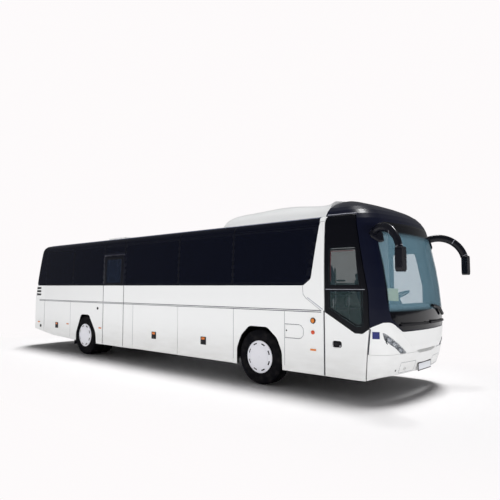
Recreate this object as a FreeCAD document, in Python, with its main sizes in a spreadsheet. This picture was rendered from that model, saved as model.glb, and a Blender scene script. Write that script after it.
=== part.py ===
import FreeCAD, Part
import math
import os
import re
import Sketcher

# Coach bus, in millimetres. X runs forward from a datum near the front axle while the pieces are drawn,
# Y to the left, Z up from the ground. Every finished piece is then placed so that X = 0 is the middle of the box.

Vector = FreeCAD.Vector

SIZES = [
    # Body shell
    ("rear_reach", 9200, "front datum to the face of the rear plate"),
    ("tail_reach", 9192, "front datum to the rear panel"),
    ("mirror_reach", 2960, "front datum to the front of the mirrors"),
    ("half_width", 1275, "half of the body's width"),
    ("sill_z", 330, "lower edge of the skirts"),
    ("crease_z", 1390, "rub moulding between skirt and wall"),
    ("belt_z", 1820, "lower edge of the side glass"),
    ("shoulder_z", 2830, "where the side turns into the roof edge"),
    ("shoulder_half", 1235, "half width at the shoulder"),
    ("edge_radius", 200, "roof edge"),
    ("roof_z", 3120, "crown of the main roof"),
    ("wall", 60, "thickness of walls, doors and flaps"),
    ("glass", 8, "thickness of the panes"),
    ("seam", 5, "gap round flaps and panels"),
    ("door_gap", 12, "gap round the doors"),
    # Nose
    ("nose_start", 1470, "station where the nose and the front doorway begin"),
    ("nose_reach", 2725, "front datum to the windscreen's foot"),
    ("nose_low_z", 1100, "height of the foremost point"),
    ("header_z", 2800, "height where the windscreen meets the dome"),
    ("header_reach", 2480, "reach at that height"),
    ("front_plate_x", 2636, "face of the front plate"),
    ("plate_width", 520, "width of the number plates"),
    ("tow_radius", 15, "socket of the towing eye"),
    ("chin_setback", 160, "how far the bumper's lower edge stands back"),
    ("dome_radius", 560, "brow of the dome seen from the side"),
    ("dome_edge", 420, "brow of the dome seen from the front"),
    ("dome_top_x", 1100, "station of the dome's crown"),
    ("dome_z", 3390, "height that the dome's crown runs up to"),
    ("bow_radius", 4200, "windscreen curve in plan"),
    ("nose_corner", 420, "corner radius in plan"),
    # Tail
    ("tail_start", -8300, "station where the tail begins"),
    ("tail_low_z", 1450, "height where the tail starts to lean"),
    ("tail_lean", 312, "how far the tail leans in up to the shoulder"),
    ("tail_brow", 300, "roof edge at the rear"),
    ("tail_top_x", -8200, "station where the roof starts to fall to the rear"),
    ("tail_bow", 6000, "rear panel curve in plan"),
    ("tail_corner", 320, "corner radius in plan"),
    # Glass band
    ("band_top_z", 2990, "upper edge of the dark glass skin"),
    ("window_top_z", 2800, "upper edge of the holes behind the glass"),
    ("roof_seam_y", 1120, "seam between wall and roof, from the centre plane"),
    ("pane_joint", 6, "gap between two panes"),
    ("window_rim", 60, "glass that overlaps the wall round an opening"),
    ("pillar", 80, "width of the pillars behind the glass"),
    # Doors and flaps
    ("door_top_z", 2990, "upper edge of the front doorway"),
    ("mid_door_rear", -5160, "rear edge of the middle doorway"),
    ("mid_door_front", -4280, "front edge of the middle doorway"),
    ("mid_door_top_z", 2580, "upper edge of the middle doorway"),
    ("hold_rear", -3880, "rear end of the luggage hold"),
    ("hold_middle", -2250, "seam between the luggage flaps"),
    ("hold_front", -600, "front edge of the luggage flaps"),
    ("hold_wall_x", -700, "rear face of the hold's front wall"),
    ("service_rear", -8290, "rear edge of the service flap"),
    ("service_front", -6795, "front edge of the service flap"),
    ("door_post_radius", 25, "turning post of a door"),
    ("door_post_y", 1120, "post's distance from the centre plane"),
    ("front_post_x", 2080, "post of the front door"),
    ("front_arm", 545, "reach of the front door's arms"),
    ("mid_post_x", -4990, "post of the middle door"),
    ("mid_arm", 650, "reach of the middle door's arms"),
    ("arm_low_z", 760, "height of the lower arm"),
    ("arm_high_z", 1795, "height of the upper arm"),
    ("arm_width", 44, "width of an arm"),
    ("arm_thick", 24, "thickness of an arm"),
    ("arm_pin", 10, "radius of the pin between arm and leaf"),
    ("fuel_rear", 650, "rear edge of the fuel flap"),
    ("fuel_front", 1045, "front edge of the fuel flap"),
    ("fuel_low_z", 905, "lower edge of the fuel flap"),
    ("fuel_high_z", 1140, "upper edge of the fuel flap"),
    ("fuel_thick", 20, "thickness of the fuel flap"),
    ("hinge_radius", 4, "hinge rod along the top of a side flap"),
    ("hinge_rise", 0.5, "rod's middle above the edge of its flap"),
    ("hatch_pin", 8, "hinge pins of the engine hatch"),
    ("hatch_pin_back", 42, "how far those pins stand ahead of the tail's rearmost point"),
    ("engine_low_z", 780, "lower edge of the engine hatch"),
    ("engine_high_z", 1720, "upper edge of the engine hatch"),
    ("engine_half", 900, "half width of the engine hatch"),
    ("handle_depth", 25, "depth of the front door's handle recess"),
    ("lamp_stand", 12, "how far a side lamp stands out"),
    # Running gear
    ("front_axle_x", 40, "station of the front axle"),
    ("wheelbase", 6075, "front axle to rear axle"),
    ("tyre_radius", 505, "loaded radius of a tyre"),
    ("tyre_width", 295, "section width of a tyre"),
    ("tyre_face_y", 1250, "outer side of the outer tyres"),
    ("twin_pitch", 330, "distance between twin tyres"),
    ("rim_radius", 286, "bead seat of the rim"),
    ("cover_radius", 296, "white wheel cover"),
    ("cover_dome", 26, "how far the cover domes out"),
    ("kingpin_y", 880, "kingpin from the centre plane"),
    ("kingpin_radius", 20, "kingpin"),
    ("running_gap", 0.05, "radial clearance of pins and spindles"),
    ("seat_gap", 0.3, "clearance where moving faces meet"),
    ("spindle_radius", 40, "front wheel spindle"),
    ("axle_tube_radius", 75, "rear axle tube"),
    ("rear_spindle_radius", 60, "rear wheel spindle"),
    ("diff_radius", 210, "differential housing"),
    ("steer_arm", 200, "length of the steering arms"),
    ("tie_rod_z", 420, "height of the tie rod"),
    # Floor and inside
    ("floor_z", 1330, "top of the cabin floor"),
    ("floor_thick", 40, "thickness of the cabin floor"),
    ("hold_floor_z", 430, "top of the hold's floor"),
    ("hold_floor_thick", 40, "thickness of the hold's floor"),
    ("step_z", 400, "top of the lowest step"),
    ("platform_z", 1000, "top of the driver's platform"),
    ("floor_rear", -8785, "rear edge of the cabin floor"),
    ("floor_front", 1050, "front edge of the cabin floor"),
    ("arch_sheet", 18, "thickness of the wheel housings"),
    ("arch_foot_z", 430, "lower edge of the wheel housings"),
    ("arch_top_z", 1110, "top of the wheel housings"),
    ("arch_inner_y", 545, "inner wall of a wheel housing from the centre plane"),
    ("arch_reach", 660, "half length of a wheel housing"),
    ("tyre_room", 540, "radius of the room inside the rear skirts"),
    ("rail_y", 400, "frame rail from the centre plane"),
    ("rail_width", 70, "width of a frame rail"),
    ("rail_low_z", 780, "underside of a frame rail"),
    ("rail_high_z", 960, "top of a frame rail"),
    ("seat_pitch", 790, "distance between seat rows"),
    ("seat_rows", 11, "rows of seats on the left"),
    ("seat_width", 880, "width of a pair of seats"),
    ("steering_wheel_radius", 225, "ring of the steering wheel"),
]

doc = FreeCAD.newDocument("coach")
sheet = doc.addObject("Spreadsheet::Sheet", "sizes")
for row, (name, value, note) in enumerate(SIZES, start=1):
    sheet.set("A%d" % row, name)
    sheet.set("B%d" % row, str(value))
    sheet.set("C%d" % row, note)
    sheet.setAlias("B%d" % row, name)
doc.recompute()

NAMES = [name for name, value, note in SIZES]
NODES = []


# Reading and binding sizes

def number(text):
    """Value of an expression of the sheet's names."""
    return float(sheet.evalExpression(str(text)))


def formula(text):
    """The same expression as another object has to write it."""
    return re.sub(r"[a-z]\w*", lambda word: "sizes." + word.group(0) if word.group(0) in NAMES else word.group(0),
                  str(text))


def bind(thing, prop, text):
    thing.setExpression(prop, formula(text))


ORIGIN_SHIFT = "(rear_reach - mirror_reach) / 2"


def node(thing, label):
    """Finish a sub-part: its name, and its place in the coach's own frame."""
    thing.Label = label
    bound = [text for path, text in thing.ExpressionEngine if path.endswith("Placement.Base.x")]
    if bound:
        thing.setExpression(".Placement.Base.x", "(%s) + %s" % (bound[0], formula(ORIGIN_SHIFT)))
    else:
        shift = FreeCAD.Placement(Vector(number(ORIGIN_SHIFT), 0, 0), FreeCAD.Rotation())
        thing.Placement = shift.multiply(thing.Placement)
    NODES.append(thing)
    return thing


# Solids made from the sheet

def box(name, low, high):
    """A box between two corners given as expressions."""
    thing = doc.addObject("Part::Box", name)
    for prop, start, end in zip(("Length", "Width", "Height"), low, high):
        bind(thing, prop, "(%s) - (%s)" % (end, start))
    for axis, start in zip("xyz", low):
        bind(thing, ".Placement.Base." + axis, start)
    return thing


def rod(name, start, along, radius, length, turn=0.0):
    """A cylinder from a point along X, Y or Z, or along a direction turned down from X by an angle."""
    thing = doc.addObject("Part::Cylinder", name)
    bind(thing, "Radius", radius)
    bind(thing, "Height", length)
    direction = {"X": Vector(1, 0, 0), "Y": Vector(0, 1, 0), "Z": Vector(0, 0, 1)}[along]
    spin = FreeCAD.Rotation(Vector(0, 1, 0), turn).multiply(FreeCAD.Rotation(Vector(0, 0, 1), direction))
    thing.Placement = FreeCAD.Placement(Vector(0, 0, 0), spin)
    for axis, value in zip("xyz", start):
        bind(thing, ".Placement.Base." + axis, value)
    return thing


PLANES = {
    "XY": (Vector(0, 0, 1), FreeCAD.Rotation(), "XY_Plane", 1),
    "XZ": (Vector(0, 1, 0), FreeCAD.Rotation(Vector(1, 0, 0), 90), "XZ_Plane", -1),
    "YZ": (Vector(1, 0, 0), FreeCAD.Rotation(Vector(1, 1, 1), 120), "YZ_Plane", 1),
}


def corner_arc(before, corner, after, radius):
    """Start, middle and end of the arc that rounds a corner."""
    back = (before - corner).normalize()
    ahead = (after - corner).normalize()
    half = back.getAngle(ahead) / 2
    reach = radius / math.tan(half)
    centre = corner + (back + ahead).normalize() * (radius / math.sin(half))
    middle = centre + (corner - centre).normalize() * radius
    return corner + back * reach, middle, corner + ahead * reach


def draw_profile(sketch, corners):
    """Draw a closed outline of straight lines and rounded corners, each bound to the sheet."""
    points = [Vector(number(corner[0]), number(corner[1]), 0) for corner in corners]
    count = len(points)
    starts, ends, arcs = [], [], {}
    for i in range(count):
        if len(corners[i]) == 3:
            arc = corner_arc(points[i - 1], points[i], points[(i + 1) % count], number(corners[i][2]))
            arcs[i] = arc
            starts.append(arc[2])
            ends.append(arc[0])
        else:
            starts.append(points[i])
            ends.append(points[i])
    lines = [sketch.addGeometry(Part.LineSegment(starts[i], ends[(i + 1) % count]), False) for i in range(count)]
    for i in range(count):
        before, after = lines[i - 1], lines[i]
        if i in arcs:
            curve = sketch.addGeometry(Part.Arc(*arcs[i]), False)
            low, high = (1, 2) if sketch.getPoint(curve, 1).distanceToPoint(ends[i]) < 1e-6 else (2, 1)
            spot = sketch.addGeometry(Part.Point(points[i]), True)
            sketch.addConstraint(Sketcher.Constraint("Tangent", before, 2, curve, low))
            sketch.addConstraint(Sketcher.Constraint("Tangent", curve, high, after, 1))
            sketch.addConstraint(Sketcher.Constraint("PointOnObject", spot, 1, before))
            sketch.addConstraint(Sketcher.Constraint("PointOnObject", spot, 1, after))
            index = sketch.addConstraint(Sketcher.Constraint("Radius", curve, number(corners[i][2])))
            sketch.setExpression("Constraints[%d]" % index, formula(corners[i][2]))
        else:
            spot = after
            sketch.addConstraint(Sketcher.Constraint("Coincident", before, 2, after, 1))
        for kind, value in zip(("DistanceX", "DistanceY"), corners[i][:2]):
            index = sketch.addConstraint(Sketcher.Constraint(kind, -1, 1, spot, 1, number(value)))
            sketch.setExpression("Constraints[%d]" % index, formula(value))


def prism(name, plane, corners, low, high):
    """A profile drawn in a plane and drawn out along the third axis from low to high."""
    normal, turn, role, sense = PLANES[plane]
    sketch = doc.addObject("Sketcher::SketchObject", name + "_profile")
    draw_profile(sketch, corners)
    sketch.Placement = FreeCAD.Placement(normal * number(low), turn)
    axis = "xyz"[[normal.x, normal.y, normal.z].index(1)]
    bind(sketch, ".Placement.Base." + axis, low)
    thing = doc.addObject("Part::Extrusion", name)
    thing.Base = sketch
    thing.DirMode = "Custom"
    thing.Dir = normal
    thing.Solid = True
    bind(thing, "LengthFwd", "(%s) - (%s)" % (high, low))
    return thing


def body_sketch(body, plane, corners, offset="0"):
    """A sketch on one of a body's own origin planes, moved along its normal."""
    normal, turn, role, sense = PLANES[plane]
    sketch = body.newObject("Sketcher::SketchObject", body.Name + "_sketch")
    face = [feature for feature in body.Origin.OriginFeatures if feature.Role == role][0]
    sketch.AttachmentSupport = (face, [""])
    sketch.MapMode = "FlatFace"
    bind(sketch, ".AttachmentOffset.Base.z", "%d * (%s)" % (sense, offset))
    draw_profile(sketch, corners)
    return sketch


def pad_body(name, plane, corners, low, high):
    """A body padded from low to high along the plane's normal."""
    body = doc.addObject("PartDesign::Body", name)
    sketch = body_sketch(body, plane, corners, low)
    pad = body.newObject("PartDesign::Pad", name + "_pad")
    pad.Profile = sketch
    bind(pad, "Length", "(%s) - (%s)" % (high, low))
    pad.Reversed = PLANES[plane][3] < 0
    body.Tip = pad
    return body


def turned_body(name, corners):
    """A body turned about the Y axis: corners are (y, radius)."""
    body = doc.addObject("PartDesign::Body", name)
    sketch = body_sketch(body, "YZ", corners)
    turning = body.newObject("PartDesign::Revolution", name + "_turning")
    turning.Profile = sketch
    turning.ReferenceAxis = (sketch, ["H_Axis"])
    turning.Angle = 360
    body.Tip = turning
    return body


def cut(name, base, *tools):
    """Base less the tools."""
    if len(tools) > 1:
        tool = compound(name + "_tools", *tools)
    else:
        tool = tools[0]
    thing = doc.addObject("Part::Cut", name)
    thing.Base = base
    thing.Tool = tool
    thing.Refine = False
    return thing


def common(name, base, tool):
    thing = doc.addObject("Part::Common", name)
    thing.Base = base
    thing.Tool = tool
    thing.Refine = False
    return thing


def fuse(name, *parts):
    thing = doc.addObject("Part::MultiFuse", name)
    thing.Shapes = list(parts)
    return thing


def compound(name, *parts):
    thing = doc.addObject("Part::Compound", name)
    thing.Links = list(parts)
    return thing


def mirrored(name, base):
    """The same piece on the other side of the centre plane."""
    thing = doc.addObject("Part::Mirroring", name)
    thing.Source = base
    thing.Normal = Vector(0, 1, 0)
    return thing


def feature(name, shape):
    thing = doc.addObject("Part::Feature", name)
    thing.Shape = shape
    return thing


def carved(name, base, *tools):
    """Base less the tools, for the thin curved walls of the ends."""
    doc.recompute()
    shape = base.Shape
    for tool in tools:
        shape = shape.cut(tool.Shape)
    return feature(name, shape)


def shared(name, base, tool):
    """What base and tool share, for the thin curved walls of the ends."""
    doc.recompute()
    return feature(name, base.Shape.common(tool.Shape))


# Cross-section of the body

class Section:
    """Half width of the body over its height: upright to the belt, a long side arc, roof edge, crown."""

    def __init__(self, edge, crown):
        self.half_width = number("half_width")
        self.belt = number("belt_z")
        rise = number("shoulder_z") - self.belt
        tuck = self.half_width - number("shoulder_half")
        self.side = (rise * rise + tuck * tuck) / (2 * tuck)
        self.angle = math.asin(rise / self.side)
        self.edge = number(edge)
        self.edge_y = number("shoulder_half") - self.edge * math.cos(self.angle)
        self.edge_z = number("shoulder_z") - self.edge * math.sin(self.angle)
        height = number(crown) - self.edge_z
        self.crown = (self.edge_y ** 2 + height ** 2 - self.edge ** 2) / (2 * (height - self.edge))
        self.crown_z = number(crown) - self.crown
        self.turn = math.atan2(self.edge_z - self.crown_z, self.edge_y)

    def half(self, z, inset):
        """Half width at a height, of the surface that lies inset inside the skin."""
        if z <= self.belt:
            return self.half_width - inset
        if z <= self.belt + (self.side - inset) * math.sin(self.angle):
            return self.half_width - self.side + math.sqrt((self.side - inset) ** 2 - (z - self.belt) ** 2)
        if z <= self.edge_z + (self.edge - inset) * math.sin(self.turn):
            return self.edge_y + math.sqrt((self.edge - inset) ** 2 - (z - self.edge_z) ** 2)
        return math.sqrt((self.crown - inset) ** 2 - (z - self.crown_z) ** 2)

    def solid(self, start, end, inset, low_z):
        """The body's middle, from one station to another."""
        def at(y, z):
            return Vector(start, y, z)

        def on(centre_y, centre_z, radius, angle):
            return at(centre_y + radius * math.cos(angle), centre_z + radius * math.sin(angle))
        side = self.side - inset
        edge = self.edge - inset
        foot = at(self.half_width - inset, low_z)
        belt = at(self.half_width - inset, self.belt)
        side_middle = on(self.half_width - self.side, self.belt, side, self.angle / 2)
        shoulder = on(self.half_width - self.side, self.belt, side, self.angle)
        edge_middle = on(self.edge_y, self.edge_z, edge, (self.angle + self.turn) / 2)
        brow = on(self.edge_y, self.edge_z, edge, self.turn)
        top = at(0, self.crown_z + self.crown - inset)

        def flip(point):
            return Vector(point.x, -point.y, point.z)
        edges = [
            Part.LineSegment(foot, belt),
            Part.Arc(belt, side_middle, shoulder),
            Part.Arc(shoulder, edge_middle, brow),
            Part.Arc(brow, top, flip(brow)),
            Part.Arc(flip(brow), flip(edge_middle), flip(shoulder)),
            Part.Arc(flip(shoulder), flip(side_middle), flip(belt)),
            Part.LineSegment(flip(belt), flip(foot)),
            Part.LineSegment(flip(foot), foot),
        ]
        wire = Part.Wire([piece.toShape() for piece in edges])
        return Part.Face(wire).extrude(Vector(end - start, 0, 0))


class EndProfile:
    """Reach of the nose or the tail over its height, on the centre plane."""

    def __init__(self, reach, low_z, high_z, high_reach, power, radius, top_reach, top_z, setback=0.0):
        self.reach = reach
        self.low_z = low_z
        self.high_z = high_z
        self.fall = (reach - high_reach) / (high_z - low_z) ** power
        self.power = power
        self.radius = radius
        self.setback = setback
        slope = self.fall * power * (high_z - low_z) ** (power - 1)
        angle = math.atan(slope)
        self.brow_x = high_reach - radius * math.cos(angle)
        self.brow_z = high_z - radius * math.sin(angle)
        self.top_x = top_reach
        run = self.brow_x - top_reach
        height = top_z - self.brow_z
        self.crown = (run * run + height * height - radius * radius) / (2 * (height - radius))
        self.crown_z = top_z - self.crown
        self.turn = math.atan2(self.brow_z - self.crown_z, run)

    def at(self, z, inset):
        if z <= self.low_z:
            drop = (self.low_z - z) / (self.low_z - number("sill_z"))
            return self.reach - inset - self.setback * drop ** 2
        if z <= self.high_z:
            return self.reach - inset - self.fall * (z - self.low_z) ** self.power
        if z <= self.brow_z + (self.radius - inset) * math.sin(self.turn):
            return self.brow_x + math.sqrt((self.radius - inset) ** 2 - (z - self.brow_z) ** 2)
        return self.top_x + math.sqrt((self.crown - inset) ** 2 - (z - self.crown_z) ** 2)


class End:
    """The nose, or the tail with its reach measured backwards: a loft of outlines in plan."""

    def __init__(self, section, profile, start, bow, corner, levels, domed, top, sense):
        self.section = section
        self.profile = profile
        self.start = start
        self.bow = bow
        self.corner = corner
        self.levels = levels
        self.domed = domed
        self.top = top
        self.sense = sense

    def outline(self, z, inset, overlap):
        """Plan outline at a height: two sides, two round corners and the bow."""
        half = self.section.half(z, inset)
        reach = self.profile.at(z, inset)
        corner = (self.corner - inset) * min(1.0, (reach - self.start) / self.domed)
        bow = self.bow - inset
        centre = reach - bow
        knee = centre + math.sqrt((bow - corner) ** 2 - (half - corner) ** 2)
        angle = math.atan2(half - corner, knee - centre)
        middle = (math.pi / 2 + angle) / 2

        def at(x, y):
            return Vector(self.sense * x, y, z)
        rear = at(self.start - overlap, half)
        side = at(knee, half)
        round_middle = at(knee + corner * math.cos(middle), half - corner + corner * math.sin(middle))
        front = at(centre + bow * math.cos(angle), bow * math.sin(angle))

        def flip(point):
            return Vector(point.x, -point.y, point.z)
        edges = [
            Part.LineSegment(flip(rear), flip(side)),
            Part.Arc(flip(side), flip(round_middle), flip(front)),
            Part.Arc(flip(front), at(reach, 0), front),
            Part.Arc(front, round_middle, side),
            Part.LineSegment(side, rear),
            Part.LineSegment(rear, flip(rear)),
        ]
        return Part.Wire([piece.toShape() for piece in edges])

    def solid(self, inset, overlap=0.0):
        """The whole end, inset inside the skin and drawn out past its foot and its open side by an overlap."""
        shoulder = number("shoulder_z")
        heights = []
        for level in self.levels:
            share = max(0.0, min(1.0, (level - shoulder) / (0.7 * (self.top - shoulder))))
            heights.append(level - inset * share)
        heights[0] -= overlap
        return Part.makeLoft([self.outline(z, inset, overlap) for z in heights], True, True)


DOME_STEPS = 9
DOME_EASE = 1.6
DOME_TOP_SHARE = 0.93


def end_levels(low_z, crown_z):
    """Heights of an end's outlines: even up to the shoulder, then closer and closer towards the crown."""
    sill = number("sill_z")
    shoulder = number("shoulder_z")
    lower = [sill + (low_z - sill) * k / 3 for k in range(4)]
    middle = [low_z + (shoulder - low_z) * k / 5 for k in range(1, 6)]
    upper = [shoulder + (crown_z - shoulder) * (1 - (1 - k / DOME_STEPS) ** DOME_EASE) * DOME_TOP_SHARE
             for k in range(1, DOME_STEPS + 1)]
    return lower + middle + upper


INSIDE_DROP = 40.0

body_section = Section("edge_radius", "roof_z")
nose_section = Section("dome_edge", "dome_z")
nose_profile = EndProfile(number("nose_reach"), number("nose_low_z"), number("header_z"), number("header_reach"), 2,
                          number("dome_radius"), number("dome_top_x"), number("dome_z"), number("chin_setback"))
tail_profile = EndProfile(number("tail_reach"), number("tail_low_z"), number("shoulder_z"),
                          number("tail_reach - tail_lean"), 1, number("tail_brow"), -number("tail_top_x"),
                          number("roof_z"))
nose = End(nose_section, nose_profile, number("nose_start"), number("bow_radius"), number("nose_corner"),
           end_levels(number("nose_low_z"), number("dome_z")), 900.0, number("dome_z"), 1)
tail = End(body_section, tail_profile, -number("tail_start"), number("tail_bow"), number("tail_corner"),
           end_levels(number("tail_low_z"), number("roof_z")), 450.0, number("roof_z"), -1)


def shells(name, solid_at):
    """The whole wall and the outer skin of one stretch of the body."""
    outer = feature(name + "_outer", solid_at(0.0, 0.0))
    inner = solid_at(number("wall"), INSIDE_DROP)
    under_glass = solid_at(number("glass"), INSIDE_DROP)
    return (feature(name + "_wall", outer.Shape.cut(inner)),
            feature(name + "_skin", outer.Shape.cut(under_glass)))


def middle_solid(inset, foot_drop):
    return body_section.solid(number("tail_start"), number("nose_start"), inset, number("sill_z") - foot_drop)


middle_wall, middle_skin = shells("middle", middle_solid)
nose_wall, nose_skin = shells("nose", nose.solid)
tail_wall, tail_skin = shells("tail", tail.solid)

# Regions that the walls are cut with

WIDE = "half_width + 100"
HIGH = "dome_z + 100"
LOW = "sill_z - 100"

band = prism("band", "XZ", [
    ("-8620", "belt_z"), ("-8830", "belt_z + 200", "60"), ("-8405", "band_top_z"),
    ("1330", "band_top_z"), ("1372", "band_top_z - 90", "40"), ("1205", "belt_z + 110", "120"), ("1045", "belt_z"),
], "-(half_width + 100)", "half_width + 100")

PANE_JOINTS = ["-6700", "mid_door_rear", "mid_door_front", "hold_middle", "-630"]
pane_gaps = compound("pane_gaps", *[
    box("pane_gap_%d" % i, (x + " - pane_joint / 2", "-(half_width + 100)", "belt_z - 10"),
        (x + " + pane_joint / 2", "half_width + 100", "band_top_z + 10"))
    for i, x in enumerate(PANE_JOINTS)])

WINDOW_BAYS = [("-8230", "-6700 - pillar / 2"), ("-6700 + pillar / 2", "mid_door_rear - pillar"),
               ("mid_door_front + pillar", "hold_middle - pillar / 2"),
               ("hold_middle + pillar / 2", "-630 - pillar / 2")]
window_holes = [
    box("window_hole_%d" % i, (start, "-(half_width + 100)", "belt_z + window_rim"),
        (end, "half_width + 100", "window_top_z"))
    for i, (start, end) in enumerate(WINDOW_BAYS)]
window_holes.append(prism("window_hole_front", "XZ", [
    ("-630 + pillar / 2", "belt_z + window_rim"), ("1080", "belt_z + window_rim", "60"),
    ("1270", "window_top_z", "60"), ("-630 + pillar / 2", "window_top_z"),
], "-(half_width + 100)", "half_width + 100"))
left_bay_hole = box("left_bay_hole", ("mid_door_rear + pillar / 2", "0", "belt_z + window_rim"),
                    ("mid_door_front - pillar / 2", "half_width + 100", "window_top_z"))

mid_doorway = box("mid_doorway", ("mid_door_rear", "-(half_width + 100)", "sill_z - 100"),
                  ("mid_door_front", "-(half_width - 400)", "mid_door_top_z"))

DOOR_FRONT_LINE = [("2203", "sill_z"), ("2290", "1140", "300"), ("2275", "1700", "400"),
                   ("2040", "door_top_z")]


def door_outline(gap):
    """Outline of the front doorway, or of its leaf when a gap is given."""
    foot = "sill_z - 100" if gap == "0" else "sill_z"
    rear = "nose_start - 50" if gap == "0" else "nose_start + " + gap
    top = "door_top_z - " + gap
    front = [(corner[0] + " - " + gap,) + corner[1:] for corner in DOOR_FRONT_LINE]
    return [(rear, foot), (front[0][0], foot), front[1], front[2], (front[3][0], top, "60"), (rear, top, "40")]


front_doorway = prism("front_doorway", "XZ", door_outline("0"), "-(half_width + 100)", "-(half_width - 400)")
front_leaf_zone = prism("front_leaf_zone", "XZ", door_outline("door_gap"), "-(half_width + 100)",
                        "-(half_width - 400)")

MASK_SIDE = [("nose_start - 50", "1400"), ("nose_start", "1382"), ("1995", "1082", "120"), ("2115", "1030", "90"),
             ("2310", "1165", "200"), ("2470", "1240")]
MASK_FRONT = [("-(half_width + 100)", "1240"), ("-1080", "1245", "120"), ("-840", "1092", "60"),
              ("840", "1092", "60"), ("1080", "1245", "120"), ("half_width + 100", "1240")]


def closed_to(corners, z):
    """An open edge line made into an outline that runs out to a height."""
    return corners + [(corners[-1][0], z), (corners[0][0], z)]


above_mask_line = [
    prism("above_line_side", "XZ", closed_to(MASK_SIDE, HIGH), "-(half_width + 100)", "half_width + 100"),
    prism("above_line_front", "YZ", closed_to(MASK_FRONT, HIGH), "2470", "nose_reach + 200")]
below_mask_line = [
    prism("below_line_side", "XZ", closed_to(MASK_SIDE, LOW), "-(half_width + 100)", "half_width + 100"),
    prism("below_line_front", "YZ", closed_to(MASK_FRONT, LOW), "2470", "nose_reach + 200")]

windscreen_zone = prism("windscreen_zone", "YZ", [
    ("830", "1110", "40"), ("1070", "1290", "120"), ("1120", "1600", "300"),
    ("1100", "2500", "400"), ("960", "2860", "160"), ("-960", "2860", "160"), ("-1100", "2500", "400"),
    ("-1120", "1600", "300"), ("-1070", "1290", "120"), ("-830", "1110", "40"),
], "1950", "nose_reach + 200")

driver_window_zone = prism("driver_window_zone", "XZ", [
    ("1540", "1560", "60"), ("2010", "1270", "80"), ("2150", "1300", "80"), ("2150", "1800", "80"),
    ("2020", "2450", "60"), ("1540", "2450", "60"),
], "half_width - 400", "half_width + 100")

underside = prism("underside", "XZ", [
    ("-9400", "100"), ("-6300", "100"), ("-6300", "sill_z"), ("-6750", "360"), ("-7800", "405", "800"),
    ("-8800", "530"), ("-9400", "620"),
], "-(half_width + 100)", "half_width + 100")

front_arch = prism("front_arch", "XZ", [
    ("-510", "100"), ("-508", "640", "280"), ("-400", "880", "250"), ("-200", "1065", "150"), ("235", "1065", "150"),
    ("470", "880", "250"), ("578", "640", "280"), ("600", "100"),
], "-(half_width + 100)", "half_width + 100")
rear_arch = prism("rear_arch", "XZ", [
    ("-6470", "100"), ("-6465", "560", "300"), ("-6225", "1050", "120"), ("-5830", "1050", "120"),
    ("-5500", "620", "300"), ("-5420", "100"),
], "-(half_width + 100)", "half_width + 100")
rear_tyre_room = rod("rear_tyre_room", ("front_axle_x - wheelbase", "-(tyre_face_y + 12)", "tyre_radius"), "Y",
                     "tyre_room", "2 * (tyre_face_y + 12)")
arch_holes = compound("arch_holes", front_arch, rear_arch)


# Side walls, glass and skirts

wall_band_skin = common("wall_band_skin", middle_skin, band)


def side_wall(side_name, low_y, high_y, holes):
    region = box("wall_region_" + side_name, ("tail_start", low_y, "crease_z"), ("nose_start", high_y, HIGH))
    slab = common("wall_slab_" + side_name, middle_wall, region)
    return cut("wall_cut_" + side_name, slab, wall_band_skin, *holes)


node(side_wall("right", "-(half_width + 100)", "-roof_seam_y", window_holes + [mid_doorway]), "side_wall_right")
node(side_wall("left", "roof_seam_y", "half_width + 100", window_holes + [left_bay_hole]), "side_wall_left")

tail_band_skin = shared("tail_band_skin", tail_skin, band)
middle_panes = cut("middle_panes", wall_band_skin, pane_gaps, mid_doorway)
driver_pane = shared("driver_pane", nose_skin, driver_window_zone)
node(compound("glass_all", middle_panes, tail_band_skin, driver_pane), "side_glass")

flap_zone_right = box("flap_zone_right", ("hold_rear", "-(half_width + 100)", "sill_z - 100"),
                      ("hold_front", "-(half_width - 200)", "crease_z - seam"))
flap_zone_left = box("flap_zone_left", ("hold_rear", "half_width - 200", "sill_z - 100"),
                     ("hold_front", "half_width + 100", "crease_z - seam"))
service_zone = box("service_zone", ("service_rear - seam - 10", "-(half_width + 100)", "sill_z - 100"),
                   ("service_front + seam", "half_width + 100", "crease_z - seam"))
fuel_zone = prism("fuel_zone", "XZ", [
    ("fuel_rear", "fuel_low_z"), ("fuel_front", "fuel_low_z", "100"), ("fuel_front", "fuel_high_z", "100"),
    ("fuel_rear", "fuel_high_z"),
], "-(half_width + 100)", "-(half_width - fuel_thick)")


def skirt(side_name, low_y, high_y, holes):
    region = box("skirt_region_" + side_name, ("tail_start", low_y, "sill_z - 10"), ("nose_start", high_y, "crease_z"))
    slab = common("skirt_slab_" + side_name, middle_wall, region)
    return cut("skirt_cut_" + side_name, slab, arch_holes, rear_tyre_room, underside, service_zone, *holes)


node(skirt("right", "-(half_width + 100)", "0", [mid_doorway, flap_zone_right, fuel_zone]), "skirt_right")

low_nose_wall = shared("low_nose_wall", nose_wall, box("low_nose_region", ("nose_start - 50", "-(half_width + 100)", LOW),
                                                       ("nose_reach + 200", "half_width + 100", "1500")))
driver_side_zone = prism("driver_side_zone", "XZ", [
    ("nose_start - 10", "sill_z - 100"), ("2200", "sill_z - 100"), ("2200", "1500"), ("nose_start - 10", "1500"),
], "half_width - 400", "half_width + 100")
driver_side = carved("driver_side", shared("driver_side_slab", low_nose_wall, driver_side_zone), *above_mask_line)
node(fuse("skirt_left_all", skirt("left", "0", "half_width + 100", [flap_zone_left]), driver_side), "skirt_left")

# Roof

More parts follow.
